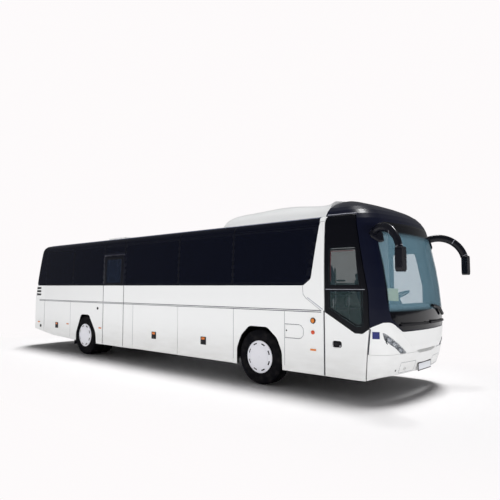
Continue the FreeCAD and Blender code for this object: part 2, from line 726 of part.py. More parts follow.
hatch_hole = box("hatch_hole", ("-6300", "-350", "roof_z - 200"), ("-5600", "350", "roof_z + 100"))
roof_middle = common("roof_middle", middle_wall, box("roof_region", ("tail_start", "-roof_seam_y", "shoulder_z"),
                                                     ("nose_start", "roof_seam_y", HIGH)))
hatch_curb = cut("hatch_curb", box("hatch_curb_block", ("-6330", "-380", "roof_z - 50"),
                                   ("-5570", "380", "roof_z + 15")), hatch_hole)
node(fuse("roof_all", cut("roof_open", roof_middle, hatch_hole, wall_band_skin), hatch_curb), "roof")
hatch_lid = box("hatch_lid", ("-6335", "-385", "roof_z + 15 + seat_gap"), ("-5565", "385", "roof_z + 45"))
hatch_rod = rod("hatch_rod", ("-5562", "-300", "roof_z + 17"), "Y", "5", "600")
node(fuse("hatch_lid_hung", hatch_lid, hatch_rod), "roof_hatch")

# Air conditioning fairing behind the dome


def fairing_outline(x, half, low, high):
    """Section of the fairing: upright sides, a round edge and a crowned top."""
    edge = 0.75 * (high - low)
    crown = 6.0 * half
    drop = crown - math.sqrt(crown ** 2 - (half - edge) ** 2)
    side = high - drop - edge
    turn = math.pi / 4

    def at(y, z):
        return Vector(x, y, z)

    def flip(point):
        return Vector(point.x, -point.y, point.z)
    foot = at(half, low)
    shoulder = at(half, side)
    middle = at(half - edge + edge * math.cos(turn), side + edge * math.sin(turn))
    brow = at(half - edge, side + edge)
    edges = [
        Part.LineSegment(foot, shoulder), Part.Arc(shoulder, middle, brow), Part.Arc(brow, at(0, high), flip(brow)),
        Part.Arc(flip(brow), flip(middle), flip(shoulder)), Part.LineSegment(flip(shoulder), flip(foot)),
        Part.LineSegment(flip(foot), foot),
    ]
    return Part.Wire([piece.toShape() for piece in edges])


# Station, half width and height of the fairing's sections
FAIRING_STATIONS = [(-1340, 820, 3130), (-1200, 900, 3230), (-950, 960, 3300), (-300, 1000, 3335),
                    (600, 1030, 3350), (1464, 1050, 3357)]
fairing = Part.makeLoft([fairing_outline(x, half, number("roof_z") - 110, high)
                         for x, half, high in FAIRING_STATIONS], True, False)
node(cut("fairing_seated", feature("fairing", fairing), doc.getObject("middle_outer")), "aircon_unit")

# Nose

node(carved("mask_cut", nose_wall, *below_mask_line, windscreen_zone, front_doorway, driver_window_zone),
     "front_mask")
node(shared("windscreen_pane", nose_skin, windscreen_zone), "windscreen")

BUMPER_SEAM = "745"
lamp_outline = [("-1190", "1103", "10"), ("-1004", "955", "300"), ("-680", "745", "10"), ("-853", "750", "30"),
                ("-1087", "904", "200"), ("-1165", "975", "60")]
lamp_zone_right = prism("lamp_zone_right", "YZ", lamp_outline, "2250", "nose_reach + 200")
lamp_zone_left = mirrored("lamp_zone_left", lamp_zone_right)
lower_nose = carved("lower_nose", low_nose_wall, *above_mask_line, front_doorway, driver_side_zone)
GRILLE_ROWS = (717, 737, 757)
GRILLE_CELLS = 9
GRILLE_CELL = 84
GRILLE_BAR = 6
grille_cells = []
for row, z in enumerate(GRILLE_ROWS):
    count = GRILLE_CELLS - 2 + row
    for k in range(count):
        middle = (k - (count - 1) / 2) * GRILLE_CELL
        grille_cells.append(box("grille_cell_%d_%d" % (row, k),
                                ("2400", "%g" % (middle - (GRILLE_CELL - GRILLE_BAR) / 2), "%d" % z),
                                ("nose_reach + 200", "%g" % (middle + (GRILLE_CELL - GRILLE_BAR) / 2), "%d + 14" % z)))
panel_slab = shared("panel_slab", lower_nose, box("panel_region", ("nose_start", "-(%s)" % WIDE, BUMPER_SEAM),
                                                  ("nose_reach + 200", WIDE, "1500")))
node(carved("panel_cut", panel_slab, lamp_zone_right, lamp_zone_left, *grille_cells), "front_panel")
bumper_slab = shared("bumper_slab", lower_nose,
                     box("bumper_region", ("nose_start", "-(%s)" % WIDE, "sill_z - 10"),
                         ("nose_reach + 200", WIDE, BUMPER_SEAM + " - 4")))
chin_rise = prism("chin_rise", "XZ", [
    ("2180", "sill_z - 50"), ("2180", "sill_z"), ("2440", "sill_z + 75", "300"), ("2900", "sill_z + 95"),
    ("2900", "sill_z - 50"),
], "-(half_width + 100)", "half_width + 100")
front_plate = box("front_plate", ("2580", "-plate_width / 2", "425"), ("front_plate_x", "plate_width / 2", "535"))
tow_boss = rod("tow_boss", ("2450", "-650", "500"), "X", "35", "130")
tow_hole = rod("tow_hole", ("2490", "-650", "500"), "X", "tow_radius", "200")
bumper_shell = carved("bumper_clear", bumper_slab, lamp_zone_right, lamp_zone_left, chin_rise, *grille_cells)
node(cut("bumper_drilled", fuse("bumper_whole", bumper_shell, front_plate, tow_boss), tow_hole), "front_bumper")
lamps = compound("lamp_pair", shared("lamp_right", nose_wall, lamp_zone_right),
                 shared("lamp_left", nose_wall, lamp_zone_left))
node(lamps, "headlamps")

# Tail

rear_window_zone = prism("rear_window_zone", "YZ", [
    ("-900", "1950", "100"), ("900", "1950", "100"), ("850", "2700", "100"), ("-850", "2700", "100"),
], "-rear_reach - 100", "-8600")
engine_zone = box("engine_zone", ("-rear_reach - 100", "-engine_half", "engine_low_z"),
                  ("-9000", "engine_half", "engine_high_z"))
PIN_X = "hatch_pin_back - tail_reach"
PIN_Z = "engine_high_z - 3"
EAR = "hatch_pin + 4"
PIN_STATIONS = (-500, 500)


def hatch_ear(name, y, low_z, high_z, inner_x):
    """A hinge ear 30 mm wide: an eye round the pin's axis and a web to the panel."""
    eye = rod(name + "_eye", (PIN_X, "%g" % (y - 15), PIN_Z), "Y", EAR, "30")
    web = box(name + "_web", (PIN_X + " - hatch_pin", "%g" % (y - 15), low_z), (inner_x, "%g" % (y + 15), high_z))
    return [eye, web]


wall_ears = []
lid_ears = []
lid_pins = []
for i, y in enumerate(PIN_STATIONS):
    wall_ears += hatch_ear("wall_ear_%d" % i, y, PIN_Z + " + 6", "engine_high_z + 40", PIN_X + " + 55")
    lid_ears += hatch_ear("lid_ear_%d" % i, y + 35, PIN_Z + " - 60", PIN_Z, PIN_X + " + 50")
    lid_pins.append(rod("lid_pin_%d" % i, (PIN_X, "%g" % (y - 14), PIN_Z), "Y", "hatch_pin", "50"))
pin_bores = [rod("pin_bore_%d" % i, (PIN_X, "%g" % (y - 20), PIN_Z), "Y", "hatch_pin + running_gap", "40")
             for i, y in enumerate(PIN_STATIONS)]
tail_lamp_zones = [box("tail_lamp_zone_right", ("-rear_reach - 100", "-1130", "1050"), ("-8900", "-960", "1650")),
                   box("tail_lamp_zone_left", ("-rear_reach - 100", "960", "1050"), ("-8900", "1130", "1650"))]
rear_region = box("rear_region", ("-rear_reach - 10", "-(%s)" % WIDE, "780"), ("tail_start", WIDE, HIGH))
rear_shell = carved("rear_cut", shared("rear_slab", tail_wall, rear_region), rear_window_zone, engine_zone,
                    *tail_lamp_zones, tail_band_skin)
node(cut("rear_drilled", fuse("rear_eared", rear_shell, *wall_ears), *pin_bores), "rear_wall")
rear_bumper_slab = shared("rear_bumper_slab", tail_wall,
                          box("rear_bumper_region", ("-rear_reach - 10", "-(%s)" % WIDE, "sill_z - 10"),
                              ("tail_start", WIDE, "780 - seat_gap")))
rear_plate = box("rear_plate", ("-rear_reach", "-plate_width / 2", "580"), ("-9150", "plate_width / 2", "700"))
node(fuse("rear_bumper_whole", carved("rear_bumper_cut", rear_bumper_slab, underside), rear_plate), "rear_bumper")
node(shared("rear_pane", tail_skin, rear_window_zone), "rear_window")
engine_lid = shared("engine_lid", tail_wall,
                    box("engine_lid_zone", ("-rear_reach - 100", "-(engine_half - seam)", "engine_low_z + seam"),
                        ("-9000", "engine_half - seam", "engine_high_z - seam")))
node(fuse("engine_lid_hung", engine_lid, *lid_ears, *lid_pins), "engine_hatch")
node(compound("tail_lamp_pair", *[shared(zone.Name.replace("_zone", ""), tail_wall, zone)
                                  for zone in tail_lamp_zones]), "tail_lamps")

# Doors

upper_door_pane = prism("upper_door_pane", "XZ", [
    ("1560", "1830", "50"), ("2130", "1830", "50"), ("2060", "2440", "50"), ("1560", "2440", "50"),
], "-(half_width + 100)", "-(half_width - 400)")
lower_door_pane = prism("lower_door_pane", "XZ", [
    ("1560", "1440", "50"), ("2060", "1160", "60"), ("2190", "1180", "60"), ("2185", "1760", "50"),
    ("1560", "1760", "50"),
], "-(half_width + 100)", "-(half_width - 400)")
handle_recess = prism("handle_recess", "XZ", [
    ("1620", "810", "40"), ("1795", "810", "40"), ("1795", "920", "40"), ("1620", "920", "40"),
], "-(half_width + 100)", "-(half_width - handle_depth)")
front_leaf = carved("front_leaf", shared("front_leaf_slab", nose_wall, front_leaf_zone), upper_door_pane,
                    lower_door_pane, handle_recess)
mid_leaf_zone = box("mid_leaf_zone", ("mid_door_rear + door_gap", "-(half_width + 100)", "sill_z - 10"),
                    ("mid_door_front - door_gap", "-(half_width - 400)", "mid_door_top_z - door_gap"))
mid_pane = prism("mid_pane", "XZ", [
    ("mid_door_rear + 100", "belt_z + 40", "50"), ("mid_door_front - 100", "belt_z + 40", "50"),
    ("mid_door_front - 100", "mid_door_top_z - 80", "50"), ("mid_door_rear + 100", "mid_door_top_z - 80", "50"),
], "-(half_width + 100)", "-(half_width - 400)")
mid_leaf = cut("mid_leaf", common("mid_leaf_slab", middle_wall, mid_leaf_zone), mid_pane)


def leaf_lugs(name, pin_x):
    """Brackets on the leaf's inner face, each with the pin that its arm turns on."""
    pieces = []
    for i, z in enumerate(("arm_low_z", "arm_high_z")):
        top = z + " + arm_thick / 2 + seat_gap"
        pieces.append(box("%s_plate_%d" % (name, i), (pin_x + " - 25", "-(half_width - wall + 5)", top),
                          (pin_x + " + 25", "-(door_post_y - arm_pin - 12)", top + " + 10")))
        pieces.append(rod("%s_pin_%d" % (name, i), (pin_x, "-door_post_y", z + " - arm_thick / 2"), "Z",
                          "arm_pin", "arm_thick + seat_gap + 5"))
    return pieces


node(fuse("front_door_all", front_leaf, *leaf_lugs("front_lug", "front_post_x - front_arm")), "front_door")
node(fuse("mid_door_all", mid_leaf, *leaf_lugs("mid_lug", "mid_post_x + mid_arm")), "mid_door")
node(compound("front_door_panes", shared("front_pane_high", nose_skin, upper_door_pane),
              shared("front_pane_low", nose_skin, lower_door_pane)), "front_door_glass")
node(common("mid_door_pane", middle_skin, mid_pane), "mid_door_glass")


def door_arm(name, post_x, sense, reach, low_z, high_z):
    """A turning post with two arms that end in eyes round the leaf's pins."""
    pieces = [rod(name + "_post", (post_x, "-door_post_y", low_z), "Z", "door_post_radius",
                  "(%s) - (%s)" % (high_z, low_z))]
    holes = []
    for i, z in enumerate(("arm_low_z", "arm_high_z")):
        low = z + " - arm_thick / 2"
        eye_x = "%s %s %s" % (post_x, sense, reach)
        start, end = (post_x, eye_x) if sense == "+" else (eye_x, post_x)
        pieces.append(box("%s_bar_%d" % (name, i), (start, "-(door_post_y + arm_width / 2)", low),
                          (end, "-(door_post_y - arm_width / 2)", low + " + arm_thick")))
        pieces.append(rod("%s_eye_%d" % (name, i), (eye_x, "-door_post_y", low), "Z", "arm_width / 2", "arm_thick"))
        holes.append(rod("%s_bore_%d" % (name, i), (eye_x, "-door_post_y", low + " - 5"), "Z",
                         "arm_pin + running_gap", "arm_thick + 10"))
    return cut(name + "_drilled", fuse(name + "_solid", *pieces), *holes)


node(door_arm("front_arm_set", "front_post_x", "-", "front_arm", "step_z + seat_gap", "arm_high_z + 40"), "front_door_arm")
node(door_arm("mid_arm_set", "mid_post_x", "+", "mid_arm", "step_z + seat_gap", "arm_high_z + 40"), "mid_door_arm")

# Luggage, service and fuel flaps


def flap_hinge(label, start, end, side):
    """The rod that a side flap turns on, along its upper outer edge."""
    y = "-half_width" if side == "right" else "half_width"
    return rod(label + "_rod", ("(%s) + 20" % start, y, "crease_z - 2 * seam + hinge_rise"), "X", "hinge_radius",
               "(%s) - (%s) - 40" % (end, start))


def side_flap(label, start, end, side):
    low_y = "-half_width" if side == "right" else "half_width - wall"
    high_y = "-(half_width - wall)" if side == "right" else "half_width"
    slab = box(label + "_slab", (start, low_y, "sill_z + seam"), (end, high_y, "crease_z - 2 * seam"))
    return node(fuse(label + "_hung", slab, flap_hinge(label, start, end, side)), label)


for side_name in ("right", "left"):
    side_flap("luggage_flap_rear_" + side_name, "hold_rear + seam", "hold_middle - seam", side_name)
    side_flap("luggage_flap_front_" + side_name, "hold_middle + seam", "hold_front - seam", side_name)
    low_side = "-half_width" if side_name == "right" else "half_width - wall"
    high_side = "-(half_width - wall)" if side_name == "right" else "half_width"
    service_slab = box("service_slab_" + side_name, ("service_rear", low_side, "sill_z"),
                       ("service_front", high_side, "crease_z - 2 * seam"))
    service_open = cut("service_flap_cut_" + side_name, service_slab, underside)
    service_rod = flap_hinge("service_flap_" + side_name, "service_rear", "service_front", side_name)
    node(fuse("service_flap_hung_" + side_name, service_open, service_rod), "service_flap_" + side_name)

fuel_rod = rod("fuel_rod", ("fuel_front - seam / 2 - 0.5", "-half_width - 1", "(fuel_low_z + fuel_high_z) / 2 - 14"), "Z",
               "seam / 2", "28")
fuel_lid = prism("fuel_lid", "XZ", [
    ("fuel_rear + seam", "fuel_low_z + seam"), ("fuel_front - seam", "fuel_low_z + seam", "95"),
    ("fuel_front - seam", "fuel_high_z - seam", "95"), ("fuel_rear + seam", "fuel_high_z - seam"),
], "-half_width", "-(half_width - fuel_thick + seat_gap)")
node(fuse("fuel_lid_hung", fuel_lid, fuel_rod), "fuel_flap")

# Lamps and reflectors on the skirts: station, height and half length, or radius when round
SIDE_ROUNDS = [(1245, 1226, 38), (1243, 1028, 34)]
SIDE_MARKERS = [(1247, 737, 55), (-5280, 736, 55), (-8620, 740, 55)]
MARKER_HALF = 15


def side_lamps(side_name, low_y):
    """The lamps of one side, their backs on the skin and their faces a little proud of it."""
    pieces = []
    for i, (x, z, radius) in enumerate(SIDE_ROUNDS):
        pieces.append(rod("round_lamp_%s_%d" % (side_name, i), (x, low_y, z), "Y", "%d" % radius, "lamp_stand"))
    for i, (x, z, half) in enumerate(SIDE_MARKERS):
        pieces.append(box("marker_%s_%d" % (side_name, i), ("%d" % (x - half), low_y, "%d" % (z - MARKER_HALF)),
                          ("%d" % (x + half), low_y + " + lamp_stand", "%d" % (z + MARKER_HALF))))
    return pieces


node(compound("side_lamps_all", *side_lamps("right", "-(half_width + lamp_stand)"), *side_lamps("left", "half_width")),
     "side_lamps")

# Floor, steps and hold

FLOOR_LOW = "floor_z - floor_thick"
INSIDE = "half_width - wall - seat_gap"
floor_slab = box("floor_slab", ("floor_rear", "-(%s)" % INSIDE, FLOOR_LOW), ("floor_front", INSIDE, "floor_z"))
mid_well = box("mid_well", ("mid_door_rear + 20", "-(half_width)", FLOOR_LOW + " - 10"),
               ("mid_door_front - 20", "-490", "floor_z + 10"))
mid_stairs = prism("mid_stairs", "YZ", [
    ("-(%s)" % INSIDE, "step_z - 40"), ("-(%s)" % INSIDE, "step_z"), ("-970", "step_z"), ("-970", "710"),
    ("-730", "710"), ("-730", "1020"), ("-490", "1020"), ("-490", FLOOR_LOW), ("-450", FLOOR_LOW), ("-450", "980"),
    ("-690", "980"), ("-690", "670"), ("-930", "670"), ("-930", "step_z - 40"),
], "mid_door_rear + 20", "mid_door_front - 20")
front_stairs = prism("front_stairs", "YZ", [
    ("-1150", "step_z - 40"), ("-1150", "step_z"), ("-900", "step_z"), ("-900", "600"), ("-600", "600"),
    ("-600", "800"), ("-300", "800"), ("-300", "platform_z"), ("0", "platform_z"), ("0", "platform_z - 40"),
    ("-260", "platform_z - 40"), ("-260", "760"), ("-560", "760"), ("-560", "560"), ("-860", "560"),
    ("-860", "step_z - 40"),
], "nose_start + 20", "2180")
platform = prism("platform", "XY", [
    ("floor_front", "0"), ("2180", "0"), ("2180", "-300"), ("2400", "-300"), ("2400", "1080"), ("2150", INSIDE),
    ("floor_front", INSIDE),
], "platform_z - 40", "platform_z")
aisle_front = box("aisle_front", ("floor_front", "-(%s)" % INSIDE, "platform_z - 40"),
                  ("nose_start + 20", "0", "platform_z"))
riser = box("riser", ("floor_front - 40", "-(%s)" % INSIDE, "platform_z - 40"), ("floor_front", INSIDE, "floor_z"))
sockets = [rod("post_socket_%d" % i, (x, "-door_post_y", "step_z - 10"), "Z", "door_post_radius + 12", "70")
           for i, x in enumerate(("front_post_x", "mid_post_x"))]
socket_bores = [rod("post_bore_%d" % i, (x, "-door_post_y", "step_z"), "Z", "door_post_radius + running_gap", "100")
                for i, x in enumerate(("front_post_x", "mid_post_x"))]
floor_solid = fuse("floor_all", cut("floor_open", floor_slab, mid_well), mid_stairs, front_stairs, platform,
                   aisle_front, riser, *sockets)
node(cut("floor_drilled", floor_solid, *socket_bores), "cabin_floor")

hold_floor = box("hold_floor", ("hold_rear", "-(%s)" % INSIDE, "hold_floor_z - hold_floor_thick"),
                 ("hold_wall_x", INSIDE, "hold_floor_z"))
hold_walls = [box("hold_wall_%d" % i, (x, "-(%s)" % INSIDE, "hold_floor_z - hold_floor_thick"),
                  (x + " + 40", INSIDE, FLOOR_LOW)) for i, x in enumerate(("hold_rear - 40", "hold_wall_x"))]
node(fuse("hold_all", hold_floor, *hold_walls), "luggage_hold")

# Frame, engine and wheel arches



def rails(name, start, end, crosses, pad_x):
    """Two frame rails with cross members between them and a jacking pad under each."""
    pieces = []
    for i, side in enumerate(("-rail_y", "rail_y")):
        pieces.append(box("%s_rail_%d" % (name, i), (start, side + " - rail_width / 2", "rail_low_z"),
                          (end, side + " + rail_width / 2", "rail_high_z")))
        pieces.append(box("%s_pad_%d" % (name, i), (pad_x + " - 60", side + " - 60", "rail_low_z - 20"),
                          (pad_x + " + 60", side + " + 60", "rail_low_z")))
    for i, x in enumerate(crosses):
        pieces.append(box("%s_cross_%d" % (name, i), (x, "-rail_y", "rail_low_z + 30"),
                          (x + " + 60", "rail_y", "rail_high_z - 30")))
    return fuse(name + "_frame", *pieces)


node(compound("frame_all", rails("front", "hold_wall_x + 40", "nose_start - 20", ("-300", "300", "1380"), "-560"),
              rails("rear", "-9000", "hold_rear - 40", ("-7400", "-6500", "-5600", "-4300"), "-6900")),
     "chassis_frame")
node(box("engine", ("-8950", "-(rail_y - rail_width / 2 - seat_gap)", "480"),
         ("-7500", "rail_y - rail_width / 2 - seat_gap", "1200")),
     "engine_block")


SIDES = (("right", "-1"), ("left", "1"))


def arch_liner(name, centre):
    """A wheel housing on each side: roof, ends and an inner wall that lets the axle through."""
    liners = []
    for side_name, s in SIDES:
        def span(near, far):
            return (near, far) if s == "1" else ("-(%s)" % far, "-(%s)" % near)
        low, high = span("arch_inner_y", INSIDE)
        room_low, room_high = span("arch_inner_y + arch_sheet", INSIDE + " + 1")
        pass_low, pass_high = span("arch_inner_y - 1", "arch_inner_y + arch_sheet + 1")
        outer = box("%s_block_%s" % (name, side_name), (centre + " - arch_reach", low, "arch_foot_z"),
                    (centre + " + arch_reach", high, "arch_top_z"))
        room = box("%s_room_%s" % (name, side_name), (centre + " - arch_reach + arch_sheet", room_low, "arch_foot_z - 1"),
                   (centre + " + arch_reach - arch_sheet", room_high, "arch_top_z - arch_sheet"))
        passage = box("%s_passage_%s" % (name, side_name), (centre + " - 160", pass_low, "arch_foot_z - 1"),
                      (centre + " + 160", pass_high, "arch_foot_z + 210"))
        liners.append(cut("%s_liner_%s" % (name, side_name), outer, room, passage))
    return liners


node(compound("arch_all", *(arch_liner("front_arch", "front_axle_x")
                            + arch_liner("rear_arch", "front_axle_x - wheelbase"))), "wheel_arches")

# Axles

BEAM_LOW = "tyre_radius - 60"
BEAM_HIGH = "tyre_radius + 40"
beam_bar = box("beam_bar", ("front_axle_x - 40", "-kingpin_y", BEAM_LOW), ("front_axle_x + 40", "kingpin_y", BEAM_HIGH))
beam_eyes = [rod("beam_eye_" + side_name, ("front_axle_x", s + " * kingpin_y", BEAM_LOW), "Z", "48", "120")
             for side_name, s in SIDES]
beam_bores = [rod("beam_bore_" + side_name, ("front_axle_x", s + " * kingpin_y", "300"), "Z",
                  "kingpin_radius + running_gap", "400") for side_name, s in SIDES]
node(cut("beam_drilled", fuse("beam_whole", beam_bar, *beam_eyes), *beam_bores), "front_axle")


def knuckle(side_name, s):
    """Fork round the beam's eye, kingpin, wheel spindle and steering arm."""
    low = BEAM_LOW + " - seat_gap"
    high = "tyre_radius + 60 + seat_gap"
    pieces = [
        rod("ear_low_" + side_name, ("front_axle_x", s + " * kingpin_y", low + " - 30"), "Z", "50", "30"),
        rod("ear_high_" + side_name, ("front_axle_x", s + " * kingpin_y", high), "Z", "50", "30"),
        rod("kingpin_" + side_name, ("front_axle_x", s + " * kingpin_y", low + " - 20"), "Z", "kingpin_radius", "160"),
    ]
    sign = -1 if s == "-1" else 1
    inner, outer = ("kingpin_y + 55", "kingpin_y + 85")
    plate_low = "-(%s)" % outer if sign < 0 else inner
    plate_high = "-(%s)" % inner if sign < 0 else outer
    web_low = "-(%s)" % outer if sign < 0 else "kingpin_y"
    web_high = "-kingpin_y" if sign < 0 else outer
    pieces.append(box("fork_back_" + side_name, ("front_axle_x - 50", plate_low, low + " - 30"), ("front_axle_x + 50", plate_high, high + " + 30")))
    pieces.append(box("fork_low_" + side_name, ("front_axle_x - 50", web_low, low + " - 30"), ("front_axle_x + 50", web_high, low)))
    pieces.append(box("fork_high_" + side_name, ("front_axle_x - 50", web_low, high), ("front_axle_x + 50", web_high, high + " + 30")))
    start = "-(tyre_face_y - 60)" if sign < 0 else "kingpin_y + 70"
    pieces.append(rod("spindle_" + side_name, ("front_axle_x", start, "tyre_radius"), "Y", "spindle_radius",
                      "tyre_face_y - 130 - kingpin_y"))
    pieces.append(box("steer_arm_" + side_name, ("front_axle_x - steer_arm", s + " * kingpin_y - 25", low + " - 30"),
                      ("front_axle_x - 30", s + " * kingpin_y + 25", low)))
    pieces.append(rod("steer_boss_" + side_name, ("front_axle_x - steer_arm", s + " * kingpin_y", low + " - 30"), "Z", "25", "30"))
    pieces.append(rod("steer_pin_" + side_name, ("front_axle_x - steer_arm", s + " * kingpin_y", "tie_rod_z - 40"), "Z", "12",
                      low + " - (tie_rod_z - 40) - 10"))
    return fuse("knuckle_solid_" + side_name, *pieces)


node(knuckle("right", "-1"), "knuckle_right")
node(knuckle("left", "1"), "knuckle_left")

EYE_TOP = BEAM_LOW + " - seat_gap - 30 - seat_gap"
rod_bar = rod("tie_bar", ("front_axle_x - steer_arm", "-kingpin_y", "tie_rod_z - 20"), "Y", "12", "2 * kingpin_y")
rod_eyes = [rod("tie_eye_%d" % i, ("front_axle_x - steer_arm", "%s * kingpin_y" % s, "tie_rod_z - 35"), "Z", "26",
                "(%s) - (tie_rod_z - 35)" % EYE_TOP) for i, s in enumerate(("-1", "1"))]
rod_bores = [rod("tie_bore_%d" % i, ("front_axle_x - steer_arm", "%s * kingpin_y" % s, "tie_rod_z - 60"), "Z",
                 "12 + running_gap", "100") for i, s in enumerate(("-1", "1"))]
node(cut("tie_rod_drilled", fuse("tie_rod_solid", rod_bar, *rod_eyes), *rod_bores), "tie_rod")

rear_tube = turned_body("rear_axle_body", [
    ("-(tyre_face_y - 60)", "0"), ("-(tyre_face_y - 60)", "rear_spindle_radius"),
    ("-(tyre_face_y - twin_pitch - tyre_width - 60)", "rear_spindle_radius"),
    ("-(tyre_face_y - twin_pitch - tyre_width - 60)", "axle_tube_radius"), ("-260", "axle_tube_radius"),
    ("-150", "diff_radius"), ("150", "diff_radius"), ("260", "axle_tube_radius"),
    ("tyre_face_y - twin_pitch - tyre_width - 60", "axle_tube_radius"),
    ("tyre_face_y - twin_pitch - tyre_width - 60", "rear_spindle_radius"),
    ("tyre_face_y - 60", "rear_spindle_radius"), ("tyre_face_y - 60", "0"),
])
rear_tube.Placement = FreeCAD.Placement(Vector(number("front_axle_x - wheelbase"), 0, number("tyre_radius")), FreeCAD.Rotation())
node(rear_tube, "rear_axle")

springs = []
for name, x, foot in (("front", "front_axle_x", "tyre_radius + 40"),
                      ("rear", "front_axle_x - wheelbase", "tyre_radius + axle_tube_radius")):
    for side_name, s in SIDES:
        springs.append(rod("spring_%s_%s" % (name, side_name), (x, s + " * rail_y", foot + " + seat_gap"), "Z", "105",
                           "rail_low_z - seat_gap - (%s) - seat_gap" % foot))
node(compound("springs_all", *springs), "air_springs")

# Wheels and tyres


def tyre_profile(face):
    """Section of a tyre whose outer side is at a distance from the wheel's own centre plane."""
    return [(face + " - tyre_width + 22", "rim_radius"), (face + " - tyre_width", "0.72 * tyre_radius"),
            (face + " - tyre_width + 8", "0.93 * tyre_radius"), (face + " - tyre_width + 32", "tyre_radius"),
            (face + " - 32", "tyre_radius"), (face + " - 8", "0.93 * tyre_radius"), (face, "0.72 * tyre_radius"),
            (face + " - 22", "rim_radius")]


def place_wheel(thing, axle_x, s, label):
    turn = FreeCAD.Rotation(Vector(0, 0, 1), 0 if s > 0 else 180)
    thing.Placement = FreeCAD.Placement(Vector(axle_x, 0, number("tyre_radius")), turn)
    node(thing, label)


def front_wheel(s, side_name):
    tyre = turned_body("tyre_front_%s_body" % side_name, tyre_profile("tyre_face_y"))
    place_wheel(tyre, number("front_axle_x"), s, "tyre_front_" + side_name)
    back = "tyre_face_y - tyre_width + 30"
    hub = "spindle_radius + running_gap"
    wheel = turned_body("wheel_front_%s_body" % side_name, [
        (back, "rim_radius - 14"), (back, "rim_radius"), ("tyre_face_y - 22", "rim_radius"),
        ("tyre_face_y - 8", "cover_radius"), ("tyre_face_y - 2", "cover_radius"),
        ("tyre_face_y - 2 + cover_dome * 0.6", "0.8 * cover_radius"), ("tyre_face_y - 2 + cover_dome", "0"),
        ("tyre_face_y - 30", "0"), ("tyre_face_y - 30", "100"), ("tyre_face_y - 58", "100"),
        ("tyre_face_y - 58", hub), ("kingpin_y + 100", hub), ("kingpin_y + 100", "110"),
        ("tyre_face_y - 90", "110"), ("tyre_face_y - 60", "rim_radius - 14"),
    ])
    place_wheel(wheel, number("front_axle_x"), s, "wheel_front_" + side_name)


def rear_wheel(s, side_name):
    axle_x = number("front_axle_x - wheelbase")
    outer = turned_body("tyre_outer_%s_body" % side_name, tyre_profile("tyre_face_y"))
    inner = turned_body("tyre_inner_%s_body" % side_name, tyre_profile("tyre_face_y - twin_pitch"))
    place_wheel(compound("tyre_rear_%s_pair" % side_name, outer, inner), axle_x, s, "tyre_rear_" + side_name)
    back = "tyre_face_y - twin_pitch - tyre_width + 30"
    hub = "rear_spindle_radius + running_gap"
    wheel = turned_body("wheel_rear_%s_body" % side_name, [
        (back, "rim_radius - 14"), (back, "rim_radius"), ("tyre_face_y - 22", "rim_radius"),
        ("tyre_face_y - 8", "cover_radius"), ("tyre_face_y - 2", "cover_radius"),
        ("tyre_face_y - 2 + cover_dome * 0.6", "0.8 * cover_radius"), ("tyre_face_y - 2 + cover_dome", "0"),
        ("tyre_face_y - 30", "0"), ("tyre_face_y - 30", "130"), ("tyre_face_y - 58", "130"),
        ("tyre_face_y - 58", hub), (back + " + 120", hub), (back + " + 120", "150"),
        ("tyre_face_y - 190", "150"), ("tyre_face_y - 170", "rim_radius - 14"),
    ])
    place_wheel(wheel, axle_x, s, "wheel_rear_" + side_name)


for sign, side_name in ((-1, "right"), (1, "left")):
    front_wheel(sign, side_name)
    rear_wheel(sign, side_name)

# Mirrors and wipers


MIRROR_HEAD = [("1380", "2385", "40"), ("1540", "2385", "40"), ("1540", "2020", "60"), ("1380", "2020", "60")]


def mirror(name, s):
    """An arched arm of oval section and the mirror's rounded housing."""
    foot_x = number("header_reach") - 210
    tip_x = number("mirror_reach") - 75
    root = Vector(foot_x, s * 1090, 2665)
    crown = Vector(foot_x + 0.565 * (tip_x - foot_x), s * 1285, 2705)
    path = Part.Wire([Part.Arc(root, crown, Vector(tip_x, s * 1455, 2365)).toShape()])
    along = path.Edges[0].tangentAt(path.Edges[0].FirstParameter)
    oval = Part.Ellipse(Vector(0, 0, 0), 68, 42).toShape()
    oval.Placement = FreeCAD.Placement(root, FreeCAD.Rotation(Vector(0, 0, 1), Vector(), along, "ZXY"))
    arm = path.makePipeShell([Part.Wire([oval])], True, False)
    corners = [("%d * %s" % (s, corner[0]),) + corner[1:] for corner in MIRROR_HEAD]
    head = prism(name + "_head", "YZ", corners, "mirror_reach - 110", "mirror_reach")
    return fuse(name + "_solid", feature(name + "_arm", arm), head)


node(cut("mirrors_seated", compound("mirrors_all", mirror("mirror_right", -1), mirror("mirror_left", 1)),
         doc.getObject("nose_outer")), "mirrors")

blade_path = feature("blade_path", nose.solid(-34.0).cut(nose.solid(-14.0)))
stud_path = feature("stud_path", nose.solid(-14.0).cut(doc.getObject("nose_outer").Shape))
blades = [common("blade_%d" % i, blade_path, box("blade_zone_%d" % i, ("2300", low, "1180"), ("2900", high, "1215")))
          for i, (low, high) in enumerate((("-900", "-60"), ("40", "880")))]
studs = [common("stud_%d" % i, stud_path, box("stud_zone_%d" % i, ("2300", low, "1180"), ("2900", high, "1215")))
         for i, (low, high) in enumerate((("-120", "-80"), ("800", "840")))]
node(compound("wipers_all", fuse("wiper_right", blades[0], studs[0]), fuse("wiper_left", blades[1], studs[1])), "wipers")

# Inside


def seat_profile(x, z):
    """Side view of a seat: foot, cushion and back."""
    def at(dx, dz, *radius):
        return ("%s + %s" % (x, dx), "%s + %s" % (z, dz)) + radius
    return [at("90", "0"), at("330", "0"), at("330", "330"), at("460", "350", "30"), at("470", "460", "40"),
            at("40", "440"), at("-120", "1090", "40"), at("-210", "1070", "30"), at("-60", "340", "60"),
            at("90", "330")]


def seat_pair(name, x, low, high):
    return prism(name, "XZ", seat_profile(x, "floor_z"), low, high)


